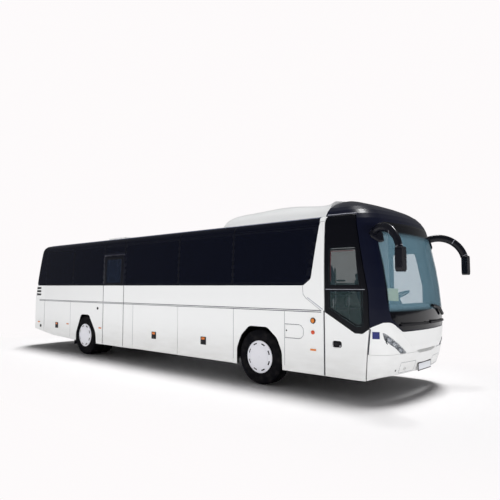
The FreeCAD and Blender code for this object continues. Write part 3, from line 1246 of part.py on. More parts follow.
MID_DOOR_ROWS = (6, 7)
seats = []
for i in range(int(number("seat_rows"))):
    x = "200 - %d * seat_pitch" % i
    seats.append(seat_pair("seats_left_%d" % i, x, "1180 - seat_width", "1180"))
    if i not in MID_DOOR_ROWS:
        seats.append(seat_pair("seats_right_%d" % i, x, "-1180", "seat_width - 1180"))
node(compound("seats_all", *seats), "passenger_seats")
node(prism("driver_seat_solid", "XZ", seat_profile("1250", "platform_z"), "380", "880"), "driver_seat")

TILT = 25.0
WHEEL_CENTRE = Vector(1900, 630, 1620)
WHEEL_TURN = FreeCAD.Rotation(Vector(0, 1, 0), -TILT)


def on_column(thing):
    """Move a piece drawn round the origin to the steering wheel's place and tilt."""
    thing.Placement = FreeCAD.Placement(WHEEL_CENTRE, WHEEL_TURN).multiply(thing.Placement)
    return thing


dash_block = prism("dash_block", "XZ", [
    ("2060", "platform_z + 160"), ("2140", "platform_z"), ("2380", "platform_z"), ("2430", "1250", "60"),
    ("2380", "1470", "60"), ("2200", "1500", "60"), ("2080", "1330", "60"),
], "-250", "950")
column = doc.addObject("Part::Cylinder", "column")
column.Radius = 45
column.Height = 290
column.Placement.Base = Vector(0, 0, -480)
column_bore = doc.addObject("Part::Cylinder", "column_bore")
bind(column_bore, "Radius", "20 + running_gap")
column_bore.Height = 200
column_bore.Placement.Base = Vector(0, 0, -305)
node(cut("dash_drilled", fuse("dash_whole", dash_block, on_column(column)), on_column(column_bore)), "dashboard")

ring = doc.addObject("Part::Torus", "steering_ring")
bind(ring, "Radius1", "steering_wheel_radius")
ring.Radius2 = 15
hub = rod("steering_hub", ("0", "0", "-40"), "Z", "45", "50")
stem = rod("steering_stem", ("0", "0", "-300"), "Z", "20", "270")
spokes = [box("steering_spoke_x", ("-steering_wheel_radius", "-18", "-12"), ("steering_wheel_radius", "18", "6")),
          box("steering_spoke_y", ("-18", "0", "-12"), ("18", "steering_wheel_radius", "6"))]
node(on_column(fuse("steering_solid", ring, hub, stem, *spokes)), "steering_wheel")

# Check and write

doc.recompute()
os.makedirs("parts", exist_ok=True)
failed = [thing.Label for thing in doc.Objects if "Invalid" in thing.State or "Error" in thing.State]
if failed:
    raise RuntimeError("did not build: " + ", ".join(failed))
for thing in NODES:
    if thing.Shape.isNull() or not thing.Shape.isValid() or not thing.Shape.Solids:
        raise RuntimeError("%s has no valid solid" % thing.Label)
for thing in NODES:
    thing.Shape.exportStep("parts/%s.step" % thing.Label)
print("wrote %d sub-parts" % len(NODES))
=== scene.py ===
"""Dresses the coach: paint, glass, lamps, trim, tyres, seats and the driver's place, in a plain pale studio."""

import logging
import math
from collections.abc import Callable, Sequence
from dataclasses import dataclass
from enum import Enum

import bmesh
import bpy
from mathutils import Euler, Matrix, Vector
from mathutils.bvhtree import BVHTree


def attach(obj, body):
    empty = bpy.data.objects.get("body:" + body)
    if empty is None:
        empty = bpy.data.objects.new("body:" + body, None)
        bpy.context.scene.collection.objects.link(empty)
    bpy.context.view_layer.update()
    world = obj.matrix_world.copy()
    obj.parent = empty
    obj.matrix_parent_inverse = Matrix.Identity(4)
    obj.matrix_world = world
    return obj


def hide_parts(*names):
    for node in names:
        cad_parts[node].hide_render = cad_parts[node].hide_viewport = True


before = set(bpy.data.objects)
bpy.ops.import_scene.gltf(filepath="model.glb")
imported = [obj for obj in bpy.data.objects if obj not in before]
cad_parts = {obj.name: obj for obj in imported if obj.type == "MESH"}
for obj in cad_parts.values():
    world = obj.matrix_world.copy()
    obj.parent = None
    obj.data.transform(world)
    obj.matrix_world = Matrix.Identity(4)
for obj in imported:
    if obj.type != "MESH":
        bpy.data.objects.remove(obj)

LOG = logging.getLogger("coach")
FRAME_PIXELS = 500
DATUM = 3.12
SHARP_DEGREES = 38
RAY_START = 9.0
GAP_DEPTH = 0.045
CUSHION_POLE = 0.985
CUSHION_PINCH = 0.035

Colour = tuple[float, float, float]
Point = tuple[float, float, float]
Line = Sequence[tuple[float, float]]
Spot = tuple[Vector, Vector]


def linear(red: int, green: int, blue: int) -> Colour:
    """A display colour, 0 to 255 a channel, as the linear colour that shaders take."""
    shares = [channel / 255 for channel in (red, green, blue)]
    return tuple(share / 12.92 if share <= 0.04045 else ((share + 0.055) / 1.055) ** 2.4 for share in shares)


def at(x: float) -> float:
    """Station in the coach's frame of a station measured from the front datum."""
    return x + DATUM


def circle(steps: int) -> list[tuple[float, float]]:
    """Cosine and sine at even steps of a full turn."""
    angles = [2 * math.pi * k / steps for k in range(steps)]
    return [(math.cos(angle), math.sin(angle)) for angle in angles]


class Side(Enum):
    """The two sides of the coach, by the sign of Y."""

    RIGHT = -1
    LEFT = 1


class Way(Enum):
    """Directions from which trim is laid on the skin."""

    RIGHT = (0.0, -1.0, 0.0)
    LEFT = (0.0, 1.0, 0.0)
    FRONT = (1.0, 0.0, 0.0)
    REAR = (-1.0, 0.0, 0.0)


# Shader maths


def operator(name: str, swapped: bool = False) -> Callable[["Socket", "Socket | float"], "Socket"]:
    """An operator of Socket that adds a Math node."""

    def apply(self: "Socket", other: "Socket | float") -> "Socket":
        """The operation on this value and another."""
        return self.graph.math(name, *((other, self) if swapped else (self, other)))

    return apply


class Socket:
    """A shader value. Its operators add Math nodes to the graph that it belongs to."""

    def __init__(self, graph: "Graph", output: bpy.types.NodeSocket) -> None:
        """Wraps an output of a graph's node."""
        self.graph = graph
        self.output = output

    __add__ = operator("ADD")
    __radd__ = operator("ADD", swapped=True)
    __sub__ = operator("SUBTRACT")
    __rsub__ = operator("SUBTRACT", swapped=True)
    __mul__ = operator("MULTIPLY")
    __rmul__ = operator("MULTIPLY", swapped=True)
    __gt__ = operator("GREATER_THAN")
    __lt__ = operator("LESS_THAN")
    larger = operator("MAXIMUM")

    def size(self) -> "Socket":
        """Absolute value."""
        return self.graph.math("ABSOLUTE", self)

    def ramp(self, low: float, high: float) -> "Socket":
        """0 at low, 1 at high, smooth between."""
        ends = {"Value": self, "From Min": low, "From Max": high}
        node = self.graph.node("ShaderNodeMapRange", {"interpolation_type": "SMOOTHSTEP"}, ends)
        return Socket(self.graph, node.outputs["Result"])


class Graph:
    """The node tree of a material or of the world."""

    def __init__(self, owner: bpy.types.Material | bpy.types.World, end: str) -> None:
        """Empties the owner's tree and adds its output node."""
        owner.use_nodes = True
        self.tree = owner.node_tree
        self.tree.nodes.clear()
        self.end = self.tree.nodes.new(end)

    def node(self, kind: str, settings: dict[str, object], inputs: dict[str | int, object]) -> bpy.types.Node:
        """Adds a node.

        Args:
            kind: The node's type.
            settings: Properties of the node, set first.
            inputs: Numbers, colours or links of its sockets, by name or place.

        Returns:
            The node.
        """
        made = self.tree.nodes.new(kind)
        for name, value in settings.items():
            setattr(made, name, value)
        for name, value in inputs.items():
            target = made.inputs[name]
            source = value.output if isinstance(value, Socket) else value
            if isinstance(source, bpy.types.NodeSocket):
                self.tree.links.new(source, target)
            elif isinstance(source, tuple) and target.type == "RGBA":
                target.default_value = (*source, 1.0)
            else:
                target.default_value = source
        return made

    def show(self, shader: bpy.types.Node) -> None:
        """Makes a shader the surface."""
        self.tree.links.new(shader.outputs[0], self.end.inputs["Surface"])

    def math(self, operation: str, *values: Socket | float) -> Socket:
        """A Math node on one or two values."""
        made = self.node("ShaderNodeMath", {"operation": operation}, dict(enumerate(values)))
        return Socket(self, made.outputs[0])

    def coordinates(self) -> bpy.types.NodeSocket:
        """Object coordinates, which move with the body."""
        return self.node("ShaderNodeTexCoord", {}, {}).outputs["Object"]

    def place(self) -> tuple[Socket, ...]:
        """The surface point's own X, Y and Z in the coach's frame."""
        split = self.node("ShaderNodeSeparateXYZ", {}, {0: self.coordinates()})
        return tuple(Socket(self, output) for output in split.outputs)

    def noise(self, scale: float, detail: float = 2.0, stretch: Point = (1.0, 1.0, 1.0)) -> Socket:
        """Cloudy noise, 0 to 1."""
        mapping = self.node("ShaderNodeMapping", {}, {"Vector": self.coordinates(), "Scale": stretch})
        inputs = {"Vector": mapping.outputs[0], "Scale": scale, "Detail": detail}
        return Socket(self, self.node("ShaderNodeTexNoise", {}, inputs).outputs["Fac"])

    def cells(self, scale: float) -> Socket:
        """Distance to the middle of the nearest of many small cells, 0 to about 1."""
        made = self.node("ShaderNodeTexVoronoi", {}, {"Vector": self.coordinates(), "Scale": scale})
        return Socket(self, made.outputs["Distance"])

    def wave(self, axis: str, scale: float, distortion: float = 0.0) -> Socket:
        """Bands across an axis, 0 to 1."""
        inputs = {"Vector": self.coordinates(), "Scale": scale, "Distortion": distortion}
        made = self.node("ShaderNodeTexWave", {"bands_direction": axis}, inputs)
        return Socket(self, made.outputs["Fac"])

    def mix(self, factor: Socket, first: Socket | Colour, second: Socket | Colour) -> Socket:
        """A colour between two colours."""
        made = self.node("ShaderNodeMix", {"data_type": "RGBA"}, {0: factor, 6: first, 7: second})
        return Socket(self, made.outputs[2])

    def relief(self, height: Socket, depth: float) -> Socket:
        """A bump from a height, 0 to 1."""
        made = self.node("ShaderNodeBump", {}, {"Height": height, "Distance": depth, "Strength": 1.0})
        return Socket(self, made.outputs["Normal"])

    def backdrop(self, share: Socket | float, near: bpy.types.Node, far: bpy.types.Node) -> None:
        """Shows one shader, and a share of another to the eye and through glass."""
        path = self.node("ShaderNodeLightPath", {}, {})
        seen = Socket(self, path.outputs["Is Camera Ray"]) + Socket(self, path.outputs["Is Transmission Ray"])
        inputs = {0: share * seen, 1: near.outputs[0], 2: far.outputs[0]}
        self.show(self.node("ShaderNodeMixShader", {}, inputs))


# Finishes


@dataclass(frozen=True)
class Finish:
    """A moulded, cast or painted finish with fine grain and a slight drift of tone."""

    name: str
    colour: Colour
    roughness: float = 0.5
    metallic: float = 0.0
    coat: float = 0.0
    grain: float = 400.0
    relief: float = 0.00015
    drift: float = 0.08
    alpha: float = 1.0
    specular: float = 0.5
    coat_roughness: float = 0.04

    def tint(self, graph: Graph) -> Socket:
        """The base colour over the surface."""
        dark = tuple(channel * (1 - self.drift) for channel in self.colour)
        return graph.mix(graph.noise(3.0, 3.0), dark, self.colour)

    def polish(self, graph: Graph) -> Socket:
        """The roughness over the surface."""
        return self.roughness * (0.85 + 0.3 * graph.noise(11.0))

    def height(self, graph: Graph) -> Socket:
        """The grain's height over the surface."""
        return graph.noise(self.grain)

    def clearness(self, _graph: Graph) -> Socket | float:
        """The alpha over the surface."""
        return self.alpha

    def material(self) -> bpy.types.Material:
        """Builds the material, or returns it if it is built already."""
        known = bpy.data.materials.get(self.name)
        if known is not None:
            return known
        made = bpy.data.materials.new(self.name)
        graph = Graph(made, "ShaderNodeOutputMaterial")
        graph.show(graph.node("ShaderNodeBsdfPrincipled", {}, {
            "Base Color": self.tint(graph),
            "Roughness": self.polish(graph),
            "Normal": graph.relief(self.height(graph), self.relief),
            "Alpha": self.clearness(graph),
            "Metallic": self.metallic,
            "Coat Weight": self.coat,
            "Coat Roughness": self.coat_roughness,
            "Specular IOR Level": self.specular,
        }))
        return made


@dataclass(frozen=True)
class BodyPaint(Finish):
    """Gloss body paint with road dust that thickens towards the sill, and a faint orange peel."""

    dust: Colour = linear(150, 144, 134)
    dust_low: float = 0.30
    dust_high: float = 1.15
    dust_share: float = 0.16

    def low(self, graph: Graph) -> Socket:
        """1 at the sill, falling to 0 higher up."""
        return 1 - graph.place()[2].ramp(self.dust_low, self.dust_high)

    def tint(self, graph: Graph) -> Socket:
        """The paint under its dust."""
        cloud = graph.noise(5.0, 4.0, (0.5, 1.0, 2.0))
        return graph.mix(self.low(graph) * cloud * self.dust_share * 2, super().tint(graph), self.dust)

    def polish(self, graph: Graph) -> Socket:
        """Duller where the dust lies."""
        return self.roughness + 0.25 * self.low(graph) * graph.noise(7.0, 3.0)


@dataclass(frozen=True)
class TwoTone(BodyPaint):
    """Body paint with a dark part."""

    # This default dark is used only by the skirts, as painted shade in the arches; the other parts set their own
    # dark paint.
    dark: Colour = linear(16, 16, 18)

    def mask(self, graph: Graph) -> Socket:
        """1 on the dark part, else 0."""
        raise NotImplementedError

    def tint(self, graph: Graph) -> Socket:
        """White, and the dark part."""
        return graph.mix(self.mask(graph), super().tint(graph), self.dark)


@dataclass(frozen=True)
class ArchShadePaint(TwoTone):
    """Paint of the skirts: the panel's edge and back are painted dark near a wheel, painted shade in the arch
    opening.
    """

    # The dark here is painted shade: the arch's inner return is darkened where shade falls.
    arches: tuple[float, float] = (at(0.04), at(-6.035))
    reach: float = 0.95
    face_y: float = 1.268

    def mask(self, graph: Graph) -> Socket:
        """Painted shade: near a wheel, behind the face."""
        x, y, _z = graph.place()
        front, rear = ((x - middle).size() < self.reach for middle in self.arches)
        return (front + rear) * (y.size() < self.face_y)


@dataclass(frozen=True)
class BandPaint(TwoTone):
    """Paint of the walls and roof: the band goes on above the side glass, with a thin lighter line in it, a painted
    highlight along the roof's edge.
    """

    dark: Colour = linear(24, 31, 66)
    # The line colour is a painted highlight: the roof edge's reflection, painted as a lighter stripe near the top
    # of the band.
    line: Colour = linear(86, 98, 148)
    highlight_z: tuple[float, float] = (2.984, 2.997)
    low_z: float = 2.86
    edge_y: float = 1.062
    ends: tuple[float, float] = (at(-8.47), at(1.338))

    def mask(self, graph: Graph) -> Socket:
        """Over the glass, out to the roof's edge."""
        x, y, z = graph.place()
        return (x > self.ends[0]) * (x < self.ends[1]) * (z > self.low_z) * (y.size() > self.edge_y)

    def tint(self, graph: Graph) -> Socket:
        """The band and its painted highlight line."""
        z = graph.place()[2]
        # Painted highlight: the lighter stripe across the top of the band.
        line = self.mask(graph) * (z > self.highlight_z[0]) * (z < self.highlight_z[1])
        return graph.mix(line, super().tint(graph), self.line)


@dataclass(frozen=True)
class BeltPaint(TwoTone):
    """Paint of the middle door: dark above the belt."""

    dark: Colour = linear(9, 11, 22)
    belt_z: float = 1.82

    def mask(self, graph: Graph) -> Socket:
        """Above the belt."""
        return graph.place()[2] > self.belt_z


@dataclass(frozen=True)
class TailPaint(TwoTone):
    """Paint of the tail, whose corners carry the band a little past the glass."""

    dark: Colour = linear(9, 12, 26)
    foot_z: float = 1.82
    head_z: float = 3.0
    knee: tuple[float, float] = (at(-8.93), 2.02)
    slopes: tuple[float, float] = (-1.05, 0.448)

    def mask(self, graph: Graph) -> Socket:
        """Ahead of both slopes from the knee, between foot and head."""
        x, _y, z = graph.place()
        lower, upper = (x > (z - self.knee[1]) * slope + self.knee[0] for slope in self.slopes)
        return lower * upper * (z > self.foot_z) * (z < self.head_z)


@dataclass(frozen=True)
class DoorPaint(TwoTone):
    """Paint of the front door, dark above the line at which the nose's mask ends."""

    dark: Colour = linear(5, 6, 13)
    edges: tuple[tuple[float, float, float], ...] = ((at(1.47), 1.384, -0.5714), (at(2.115), 1.022, 0.692))
    low_z: float = 1.06

    def mask(self, graph: Graph) -> Socket:
        """Above both edges, each given by a point and a slope."""
        x, _y, z = graph.place()
        rear, front = ((z - ((x - px) * slope + pz)) > 0.0 for px, pz, slope in self.edges)
        return rear * front * (z > self.low_z)

    def polish(self, graph: Graph) -> Socket:
        """Glossier on the dark part."""
        return super().polish(graph) * (1 - 0.2 * self.mask(graph))


@dataclass(frozen=True)
class Pane(Finish):
    """Tinted glass: a smooth clear sheet with a faint film of dust."""

    film: float = 0.03

    def clearness(self, graph: Graph) -> Socket:
        """A little more opaque where dust has dried."""
        return self.alpha + self.film * graph.noise(4.0, 4.0)

    def polish(self, graph: Graph) -> Socket:
        """Nearly mirror smooth."""
        return self.roughness * (0.7 + 0.6 * graph.noise(2.0))


@dataclass(frozen=True)
class SidePane(Pane):
    """The side glass: nearly opaque, lighter in the left front bay, clear in the driver's window."""

    bay: tuple[float, float] = (at(-0.66), 0.50)
    driver: tuple[float, float] = (at(1.47), 0.16)

    def clearness(self, graph: Graph) -> Socket:
        """Dark panes, and the two clearer ones, each given by its rear edge and its alpha."""
        x, y, _z = graph.place()
        bay = (y > 0.0) * (x > self.bay[0]) * (self.alpha - self.bay[1])
        driver = (y > 0.0) * (x > self.driver[0]) * (self.bay[1] - self.driver[1])
        return super().clearness(graph) - bay - driver


@dataclass(frozen=True)
class Screen(Pane):
    """The windscreen: clear glass in a printed dark border."""

    border: Colour = linear(7, 8, 14)
    foot: tuple[float, float] = (1.40, 1.48)
    head: tuple[float, float] = (2.59, 2.71)
    edge: tuple[float, float] = (1.075, 1.105)

    def printed(self, graph: Graph) -> Socket:
        """1 on the printed border, 0 on clear glass."""
        _x, y, z = graph.place()
        return (1 - z.ramp(*self.foot)).larger(z.ramp(*self.head)).larger(y.size().ramp(*self.edge))

    def tint(self, graph: Graph) -> Socket:
        """Glass blue, and the border."""
        return graph.mix(self.printed(graph), self.colour, self.border)

    def clearness(self, graph: Graph) -> Socket:
        """Clear but for the border."""
        return super().clearness(graph).larger(self.printed(graph) * 0.99)


@dataclass(frozen=True)
class Rubber(Finish):
    """Tyre rubber, greyed with dust in its grain."""

    dust: Colour = linear(84, 80, 76)

    def tint(self, graph: Graph) -> Socket:
        """Black with dusty patches."""
        cloud = graph.noise(9.0, 4.0).ramp(0.42, 0.8)
        return graph.mix(cloud * 0.14, super().tint(graph), self.dust)


@dataclass(frozen=True)
class Cloth(Finish):
    """Woven seat cloth: crossing threads with a soft fleck."""

    fleck: Colour = linear(96, 102, 138)
    thread: float = 70.0

    def height(self, graph: Graph) -> Socket:
        """The crossing threads."""
        return graph.wave("X", self.thread, 1.2) * 0.5 + graph.wave("Z", self.thread, 1.2) * 0.5

    def tint(self, graph: Graph) -> Socket:
        """Dyed cloth with lighter flecks."""
        fleck = (1 - graph.cells(34.0)).ramp(0.72, 0.95)
        return graph.mix(fleck * 0.6, super().tint(graph), self.fleck)


@dataclass(frozen=True)
class Lens(Finish):
    """Moulded lamp plastic with fine optic ribs."""

    ribs: float = 90.0

    def height(self, graph: Graph) -> Socket:
        """Upright ribs."""
        return graph.wave("Y", self.ribs)


PAINT: dict[str, float] = {"grain": 160.0, "relief": 0.00004, "drift": 0.015}
CLEAR: dict[str, float] = {"grain": 6.0, "relief": 0.00002}
BODY_WHITE = linear(234, 235, 235)

WHITE = BodyPaint("white_gloss", BODY_WHITE, 0.34, coat=0.25, **PAINT)
# The skirts carry painted shade in the wheel arches.
ARCH_SHADED = ArchShadePaint("skirt_gloss", BODY_WHITE, 0.34, coat=0.25, **PAINT)
# The band carries a painted highlight line along the roof's edge.
BANDED = BandPaint("white_banded", BODY_WHITE, 0.34, coat=0.25, **PAINT)
DOOR_WHITE = DoorPaint("front_door_gloss", BODY_WHITE, 0.34, specular=0.22, **PAINT)
MID_WHITE = BeltPaint("mid_door_gloss", BODY_WHITE, 0.34, specular=0.18, **PAINT)
TAIL_WHITE = TailPaint("tail_gloss", BODY_WHITE, 0.34, specular=0.22, **PAINT)
NAVY = Finish("navy_gloss", linear(9, 13, 32), 0.32, coat=0.04, grain=160.0, relief=0.00003, specular=0.22)
ARM_BLACK = Finish("mirror_black", linear(9, 10, 20), 0.28, coat=0.1, grain=160.0, relief=0.00003, specular=0.3)
SMOKED = SidePane("smoked_glass", linear(8, 11, 24), 0.06, alpha=0.93, specular=0.16, **CLEAR)
MID_GLASS = Pane("mid_door_glass", linear(26, 34, 50), 0.06, alpha=0.72, specular=0.2, **CLEAR)
DOOR_GLASS = Pane("door_glass", linear(60, 78, 80), 0.04, alpha=0.30, specular=0.35, **CLEAR)
SCREEN = Screen("screen_glass", linear(128, 168, 186), 0.04, alpha=0.30, specular=0.25, **CLEAR)
TYRE = Rubber("tyre_rubber", linear(12, 12, 16), 0.85, grain=260.0, relief=0.0006, specular=0.1)
SEAL = Finish("seal_rubber", linear(10, 11, 18), 0.6, grain=300.0, specular=0.2)
SEAM = Finish("seam_shadow", linear(118, 120, 130), 0.7, grain=300.0)
NAVY_SEAM = Finish("navy_seam", linear(24, 26, 44), 0.45, grain=300.0)
TRIM = Finish("trim_grey", linear(176, 178, 188), 0.35, coat=0.2, grain=300.0)
MOULDING = Finish("moulding_grey", linear(66, 68, 80), 0.4, coat=0.1, grain=300.0)
RED_LINE = Finish("dark_red_line", linear(96, 20, 34))
BLACK = Finish("moulded_black", linear(15, 15, 20), 0.5, grain=520.0, relief=0.0003, specular=0.3)
CHASSIS = Finish("chassis_black", linear(30, 30, 32), 0.72, grain=120.0, relief=0.0006, drift=0.3)
HOUSING = Finish("arch_black", linear(15, 15, 16), 0.85, grain=90.0, relief=0.0008, drift=0.3)
CAST = Finish("cast_metal", linear(86, 85, 84), 0.58, 0.75, grain=240.0, relief=0.0005, drift=0.25)
SHEET = Finish("grey_sheet", linear(122, 122, 122), 0.5, 0.35, grain=60.0, relief=0.0002, drift=0.2)
VINYL = Finish("floor_vinyl", linear(74, 76, 84), 0.62, grain=700.0, relief=0.0003, drift=0.2)
INNER = Finish("inner_grey", linear(112, 114, 120), 0.6, grain=500.0, relief=0.0003)
COVER = Finish("cover_white", linear(222, 222, 228), 0.32, coat=0.3, grain=220.0, relief=0.00006, drift=0.05)
CHROME = Finish("bright_metal", linear(214, 216, 222), 0.12, 1.0, grain=80.0, relief=0.00002)
REFLECTOR = Finish("lamp_reflector", linear(196, 200, 206), 0.16, 0.9, grain=80.0, relief=0.00002)
LAMP_GLASS = Pane("lamp_glass", linear(196, 202, 210), 0.03, alpha=0.20, relief=0.00002, grain=20.0)
BULB = Finish("lamp_bulb", linear(236, 238, 240), 0.1, coat=0.5, grain=60.0, relief=0.00002)
AMBER = Lens("amber_lens", linear(214, 120, 32), 0.2, coat=0.3, relief=0.0003)
RED = Lens("red_lens", linear(158, 20, 26), 0.18, coat=0.4, relief=0.0003)
REFLEX = Lens("side_reflector", linear(206, 74, 48), 0.25, coat=0.3, relief=0.0003)
ORANGE = Finish("orange_mark", linear(222, 120, 44), 0.4, coat=0.2)
BLANK_PLATE = Finish("blank_plate", linear(226, 228, 234), 0.35, coat=0.2, grain=900.0, relief=0.0001)
CARD = Finish("blank_card", linear(232, 232, 186), 0.7, grain=700.0)
BLANK_BLUE = Finish("blank_blue", linear(30, 38, 108), 0.4, coat=0.2, grain=700.0)
MIRROR = Finish("mirror_glass", linear(200, 206, 212), 0.03, 1.0, grain=20.0, relief=0.00001)
CLOTH = Cloth("seat_cloth", linear(52, 58, 96), 0.92, relief=0.0007, drift=0.15)
HEADREST = Cloth("headrest_cloth", linear(84, 88, 116), 0.92, relief=0.0007, drift=0.1)
GAUGE = Finish("gauge_face", linear(18, 19, 22), 0.25, coat=0.6, grain=300.0)

NODE_FINISHES = {
    BANDED: "side_wall roof",
    ARCH_SHADED: "skirt",
    WHITE: "service_flap luggage_flap fuel_flap engine_hatch rear_bumper front_bumper front_panel"
           " aircon_unit roof_hatch",
    TAIL_WHITE: "rear_wall",
    DOOR_WHITE: "front_door",
    MID_WHITE: "mid_door",
    NAVY: "front_mask",
    SCREEN: "windscreen",
    DOOR_GLASS: "front_door_glass",
    MID_GLASS: "mid_door_glass",
    SMOKED: "side_glass rear_window",
    LAMP_GLASS: "headlamps",
    RED: "tail_lamps",
    AMBER: "side_lamps",
    ARM_BLACK: "mirrors",
    BLACK: "wipers front_door_arm mid_door_arm steering_wheel",
    CHASSIS: "chassis_frame",
    SHEET: "luggage_hold",
    HOUSING: "wheel_arches",
    SEAL: "air_springs",
    CAST: "front_axle rear_axle knuckle tie_rod engine_block",
    COVER: "wheel_front wheel_rear",
    TYRE: "tyre",
    VINYL: "cabin_floor",
    INNER: "dashboard",
    CLOTH: "driver_seat passenger_seats",
}


def dress_nodes() -> None:
    """Puts on each CAD node the finish of the longest name that its own name starts with."""
    finishes = {name: finish for finish, names in NODE_FINISHES.items() for name in names.split()}
    for name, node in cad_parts.items():
        start = max((start for start in finishes if name.startswith(start)), key=len)
        material = finishes[start].material()
        if not node.material_slots:
            node.data.materials.append(material)
        for slot in node.material_slots:
            slot.material = material
        LOG.info("%s: %s", name, material.name)


# Meshes


def linked(name: str, data: bpy.types.ID) -> bpy.types.Object:
    """A new object in the scene."""
    made = bpy.data.objects.new(name, data)
    bpy.context.scene.collection.objects.link(made)
    return made


class Draft:
    """A mesh in the making: points and faces in the coach's frame."""

    def __init__(self) -> None:
        """Starts empty."""
        self.points: list[Vector] = []
        self.faces: list[tuple[int, ...]] = []

    def grid(
        self, rows: Sequence[Sequence[Vector]], around: bool = False, ends: bool = False, loop: bool = False
    ) -> "Draft":
        """Adds a skin over rows of points.

        Args:
            rows: Rows of equally many points.
            around: Whether each row closes on itself.
            ends: Whether the first and last row are filled.
            loop: Whether the last row joins the first.

        Returns:
            The draft.
        """
        base, width = len(self.points), len(rows[0])
        for row in rows:
            self.points.extend(Vector(point) for point in row)
        for i in range(len(rows) if loop else len(rows) - 1):
            here, there = base + i * width, base + (i + 1) % len(rows) * width
            for k in range(width if around else width - 1):
                ahead = (k + 1) % width
                self.faces.append((here + k, here + ahead, there + ahead, there + k))
        if ends:
            last = base + (len(rows) - 1) * width
            self.faces.append(tuple(base + k for k in reversed(range(width))))
            self.faces.append(tuple(last + k for k in range(width)))
        return self

    def lathe(self, profile: Line, centre: Vector, axis: Vector, steps: int = 48) -> "Draft":
        """Turns a closed or open profile round an axis.

        Args:
            profile: Distance along the axis and radius.
            centre: Point on the axis that distances run from.
            axis: Direction of the axis.
            steps: Sides of the turned form.

        Returns:
            The draft.
        """
        axis = axis.normalized()
        across = axis.orthogonal().normalized()
        up = axis.cross(across)
        rows = []
        for cos, sin in circle(steps):
            out = across * cos + up * sin
            rows.append([centre + axis * along + out * radius for along, radius in profile])
        return self.grid(rows, loop=True)

    def tube(self, line: Sequence[Vector], radius: float, sides: int = 10) -> "Draft":
        """A round bar along a line.

        Args:
            line: Points along the bar.
            radius: Its radius.
            sides: Sides of its section.

        Returns:
            The draft.
        """
        rows = []
        for k, point in enumerate(line):
            ahead = line[min(k + 1, len(line) - 1)] - line[max(k - 1, 0)]
            across = ahead.cross(Vector((0, 0, 1)))
            if across.length < 1e-4:
                across = ahead.cross(Vector((1, 0, 0)))
            across.normalize()
            up = across.cross(ahead).normalized()
            rows.append([point + (across * cos + up * sin) * radius for cos, sin in circle(sides)])
        return self.grid(rows, around=True, ends=True)

    def bead(self, laid: Sequence[Spot], width: float, stand: float) -> "Draft":
        """A low rounded strip on the skin; nothing where the line fell into a gap between panels.

        Args:
            laid: Points on the skin with their normals.
            width: Width of the strip.
            stand: How far its middle stands out.

        Returns:
            The draft.
        """
        if len(laid) < 2:
            return self
        section = [(-0.5, -0.4), (-0.5, 0.35), (-0.3, 0.88), (0.0, 1.0), (0.3, 0.88), (0.5, 0.35), (0.5, -0.4)]
        rows = []
        for k, (point, normal) in enumerate(laid):
            ahead = laid[min(k + 1, len(laid) - 1)][0] - laid[max(k - 1, 0)][0]
            across = normal.cross(ahead).normalized()
            rows.append([point + across * (width * s) + normal * (stand * h) for s, h in section])
        return self.grid(rows, around=True, ends=True)

    def block(self, low: Point, high: Point, round_by: float, steps: int = 3) -> "Draft":
        """A box with round edges and corners.

        Args:
            low: Lowest corner.
            high: Highest corner.
            round_by: Radius of its edges.
            steps: Facets across each edge.

        Returns:
            The draft.
        """
        middle = (Vector(low) + Vector(high)) / 2
        half = (Vector(high) - Vector(low)) / 2
        radius = min(round_by, min(half) * 0.98)
        core = half - Vector((radius, radius, radius))
        rows = []
        for i in range(-steps, steps + 1):
            pitch = math.pi / 2 * i / steps
            for sign in ((-1,) if i < 0 else (1,) if i > 0 else (-1, 1)):
                rows.append([
                    middle + Vector((
                        core.x * sx + radius * math.cos(pitch) * math.cos(turn),
                        core.y * sy + radius * math.cos(pitch) * math.sin(turn),
                        core.z * sign + radius * math.sin(pitch),
                    ))
                    for turn, sx, sy in self._ring(steps)
                ])
        return self.grid(rows, around=True, ends=True)

    @staticmethod
    def _ring(steps: int) -> list[tuple[float, int, int]]:
        """Angles round a box's plan, with the signs of the corner that each belongs to."""
        ring = []
        for corner, (sx, sy) in enumerate(((1, 1), (-1, 1), (-1, -1), (1, -1))):
            for k in range(steps + 1):
                ring.append((math.pi / 2 * (corner + k / steps), sx, sy))
        return ring

    def cushion(
        self, centre: Point, size: Point, lean: float = 0.0, crown: float = 0.5, across: int = 18, along: int = 12
    ) -> "Draft":
        """A crowned closed pad whose sides pull in between its corners.

        Args:
            centre: Middle of the pad.
            size: Its length, width and thickness.
            lean: Turn about Y in degrees.
            crown: Squareness, from 0, square, to 1, round.
            across: Points round it.
            along: Rows over it.

        Returns:
            The draft.
        """

        def eased(value: float) -> float:
            """A power that squares a round section."""
            return math.copysign(abs(value) ** crown, value)

        turn = Euler((0.0, math.radians(lean), 0.0))
        rows = []
        for i in range(along + 1):
            pitch = math.pi * (i / along - 0.5) * CUSHION_POLE
            row = []
            for k in range(across):
                angle = 2 * math.pi * (k + 0.5) / across
                pull = 1 - CUSHION_PINCH * math.cos(2 * angle) ** 2
                local = Vector((
                    size[0] / 2 * eased(math.cos(angle)) * eased(math.cos(pitch)) * pull,
                    size[1] / 2 * eased(math.sin(angle)) * eased(math.cos(pitch)) * pull,
                    size[2] / 2 * eased(math.sin(pitch)),
                ))
                local.rotate(turn)
                row.append(Vector(centre) + local)
            rows.append(row)
        return self.grid(rows, around=True, ends=True)

    def prism(self, outline: Sequence[Vector], depth: Vector) -> "Draft":
        """An outline drawn out along a vector."""
        return self.grid([list(outline), [point + depth for point in outline]], around=True, ends=True)

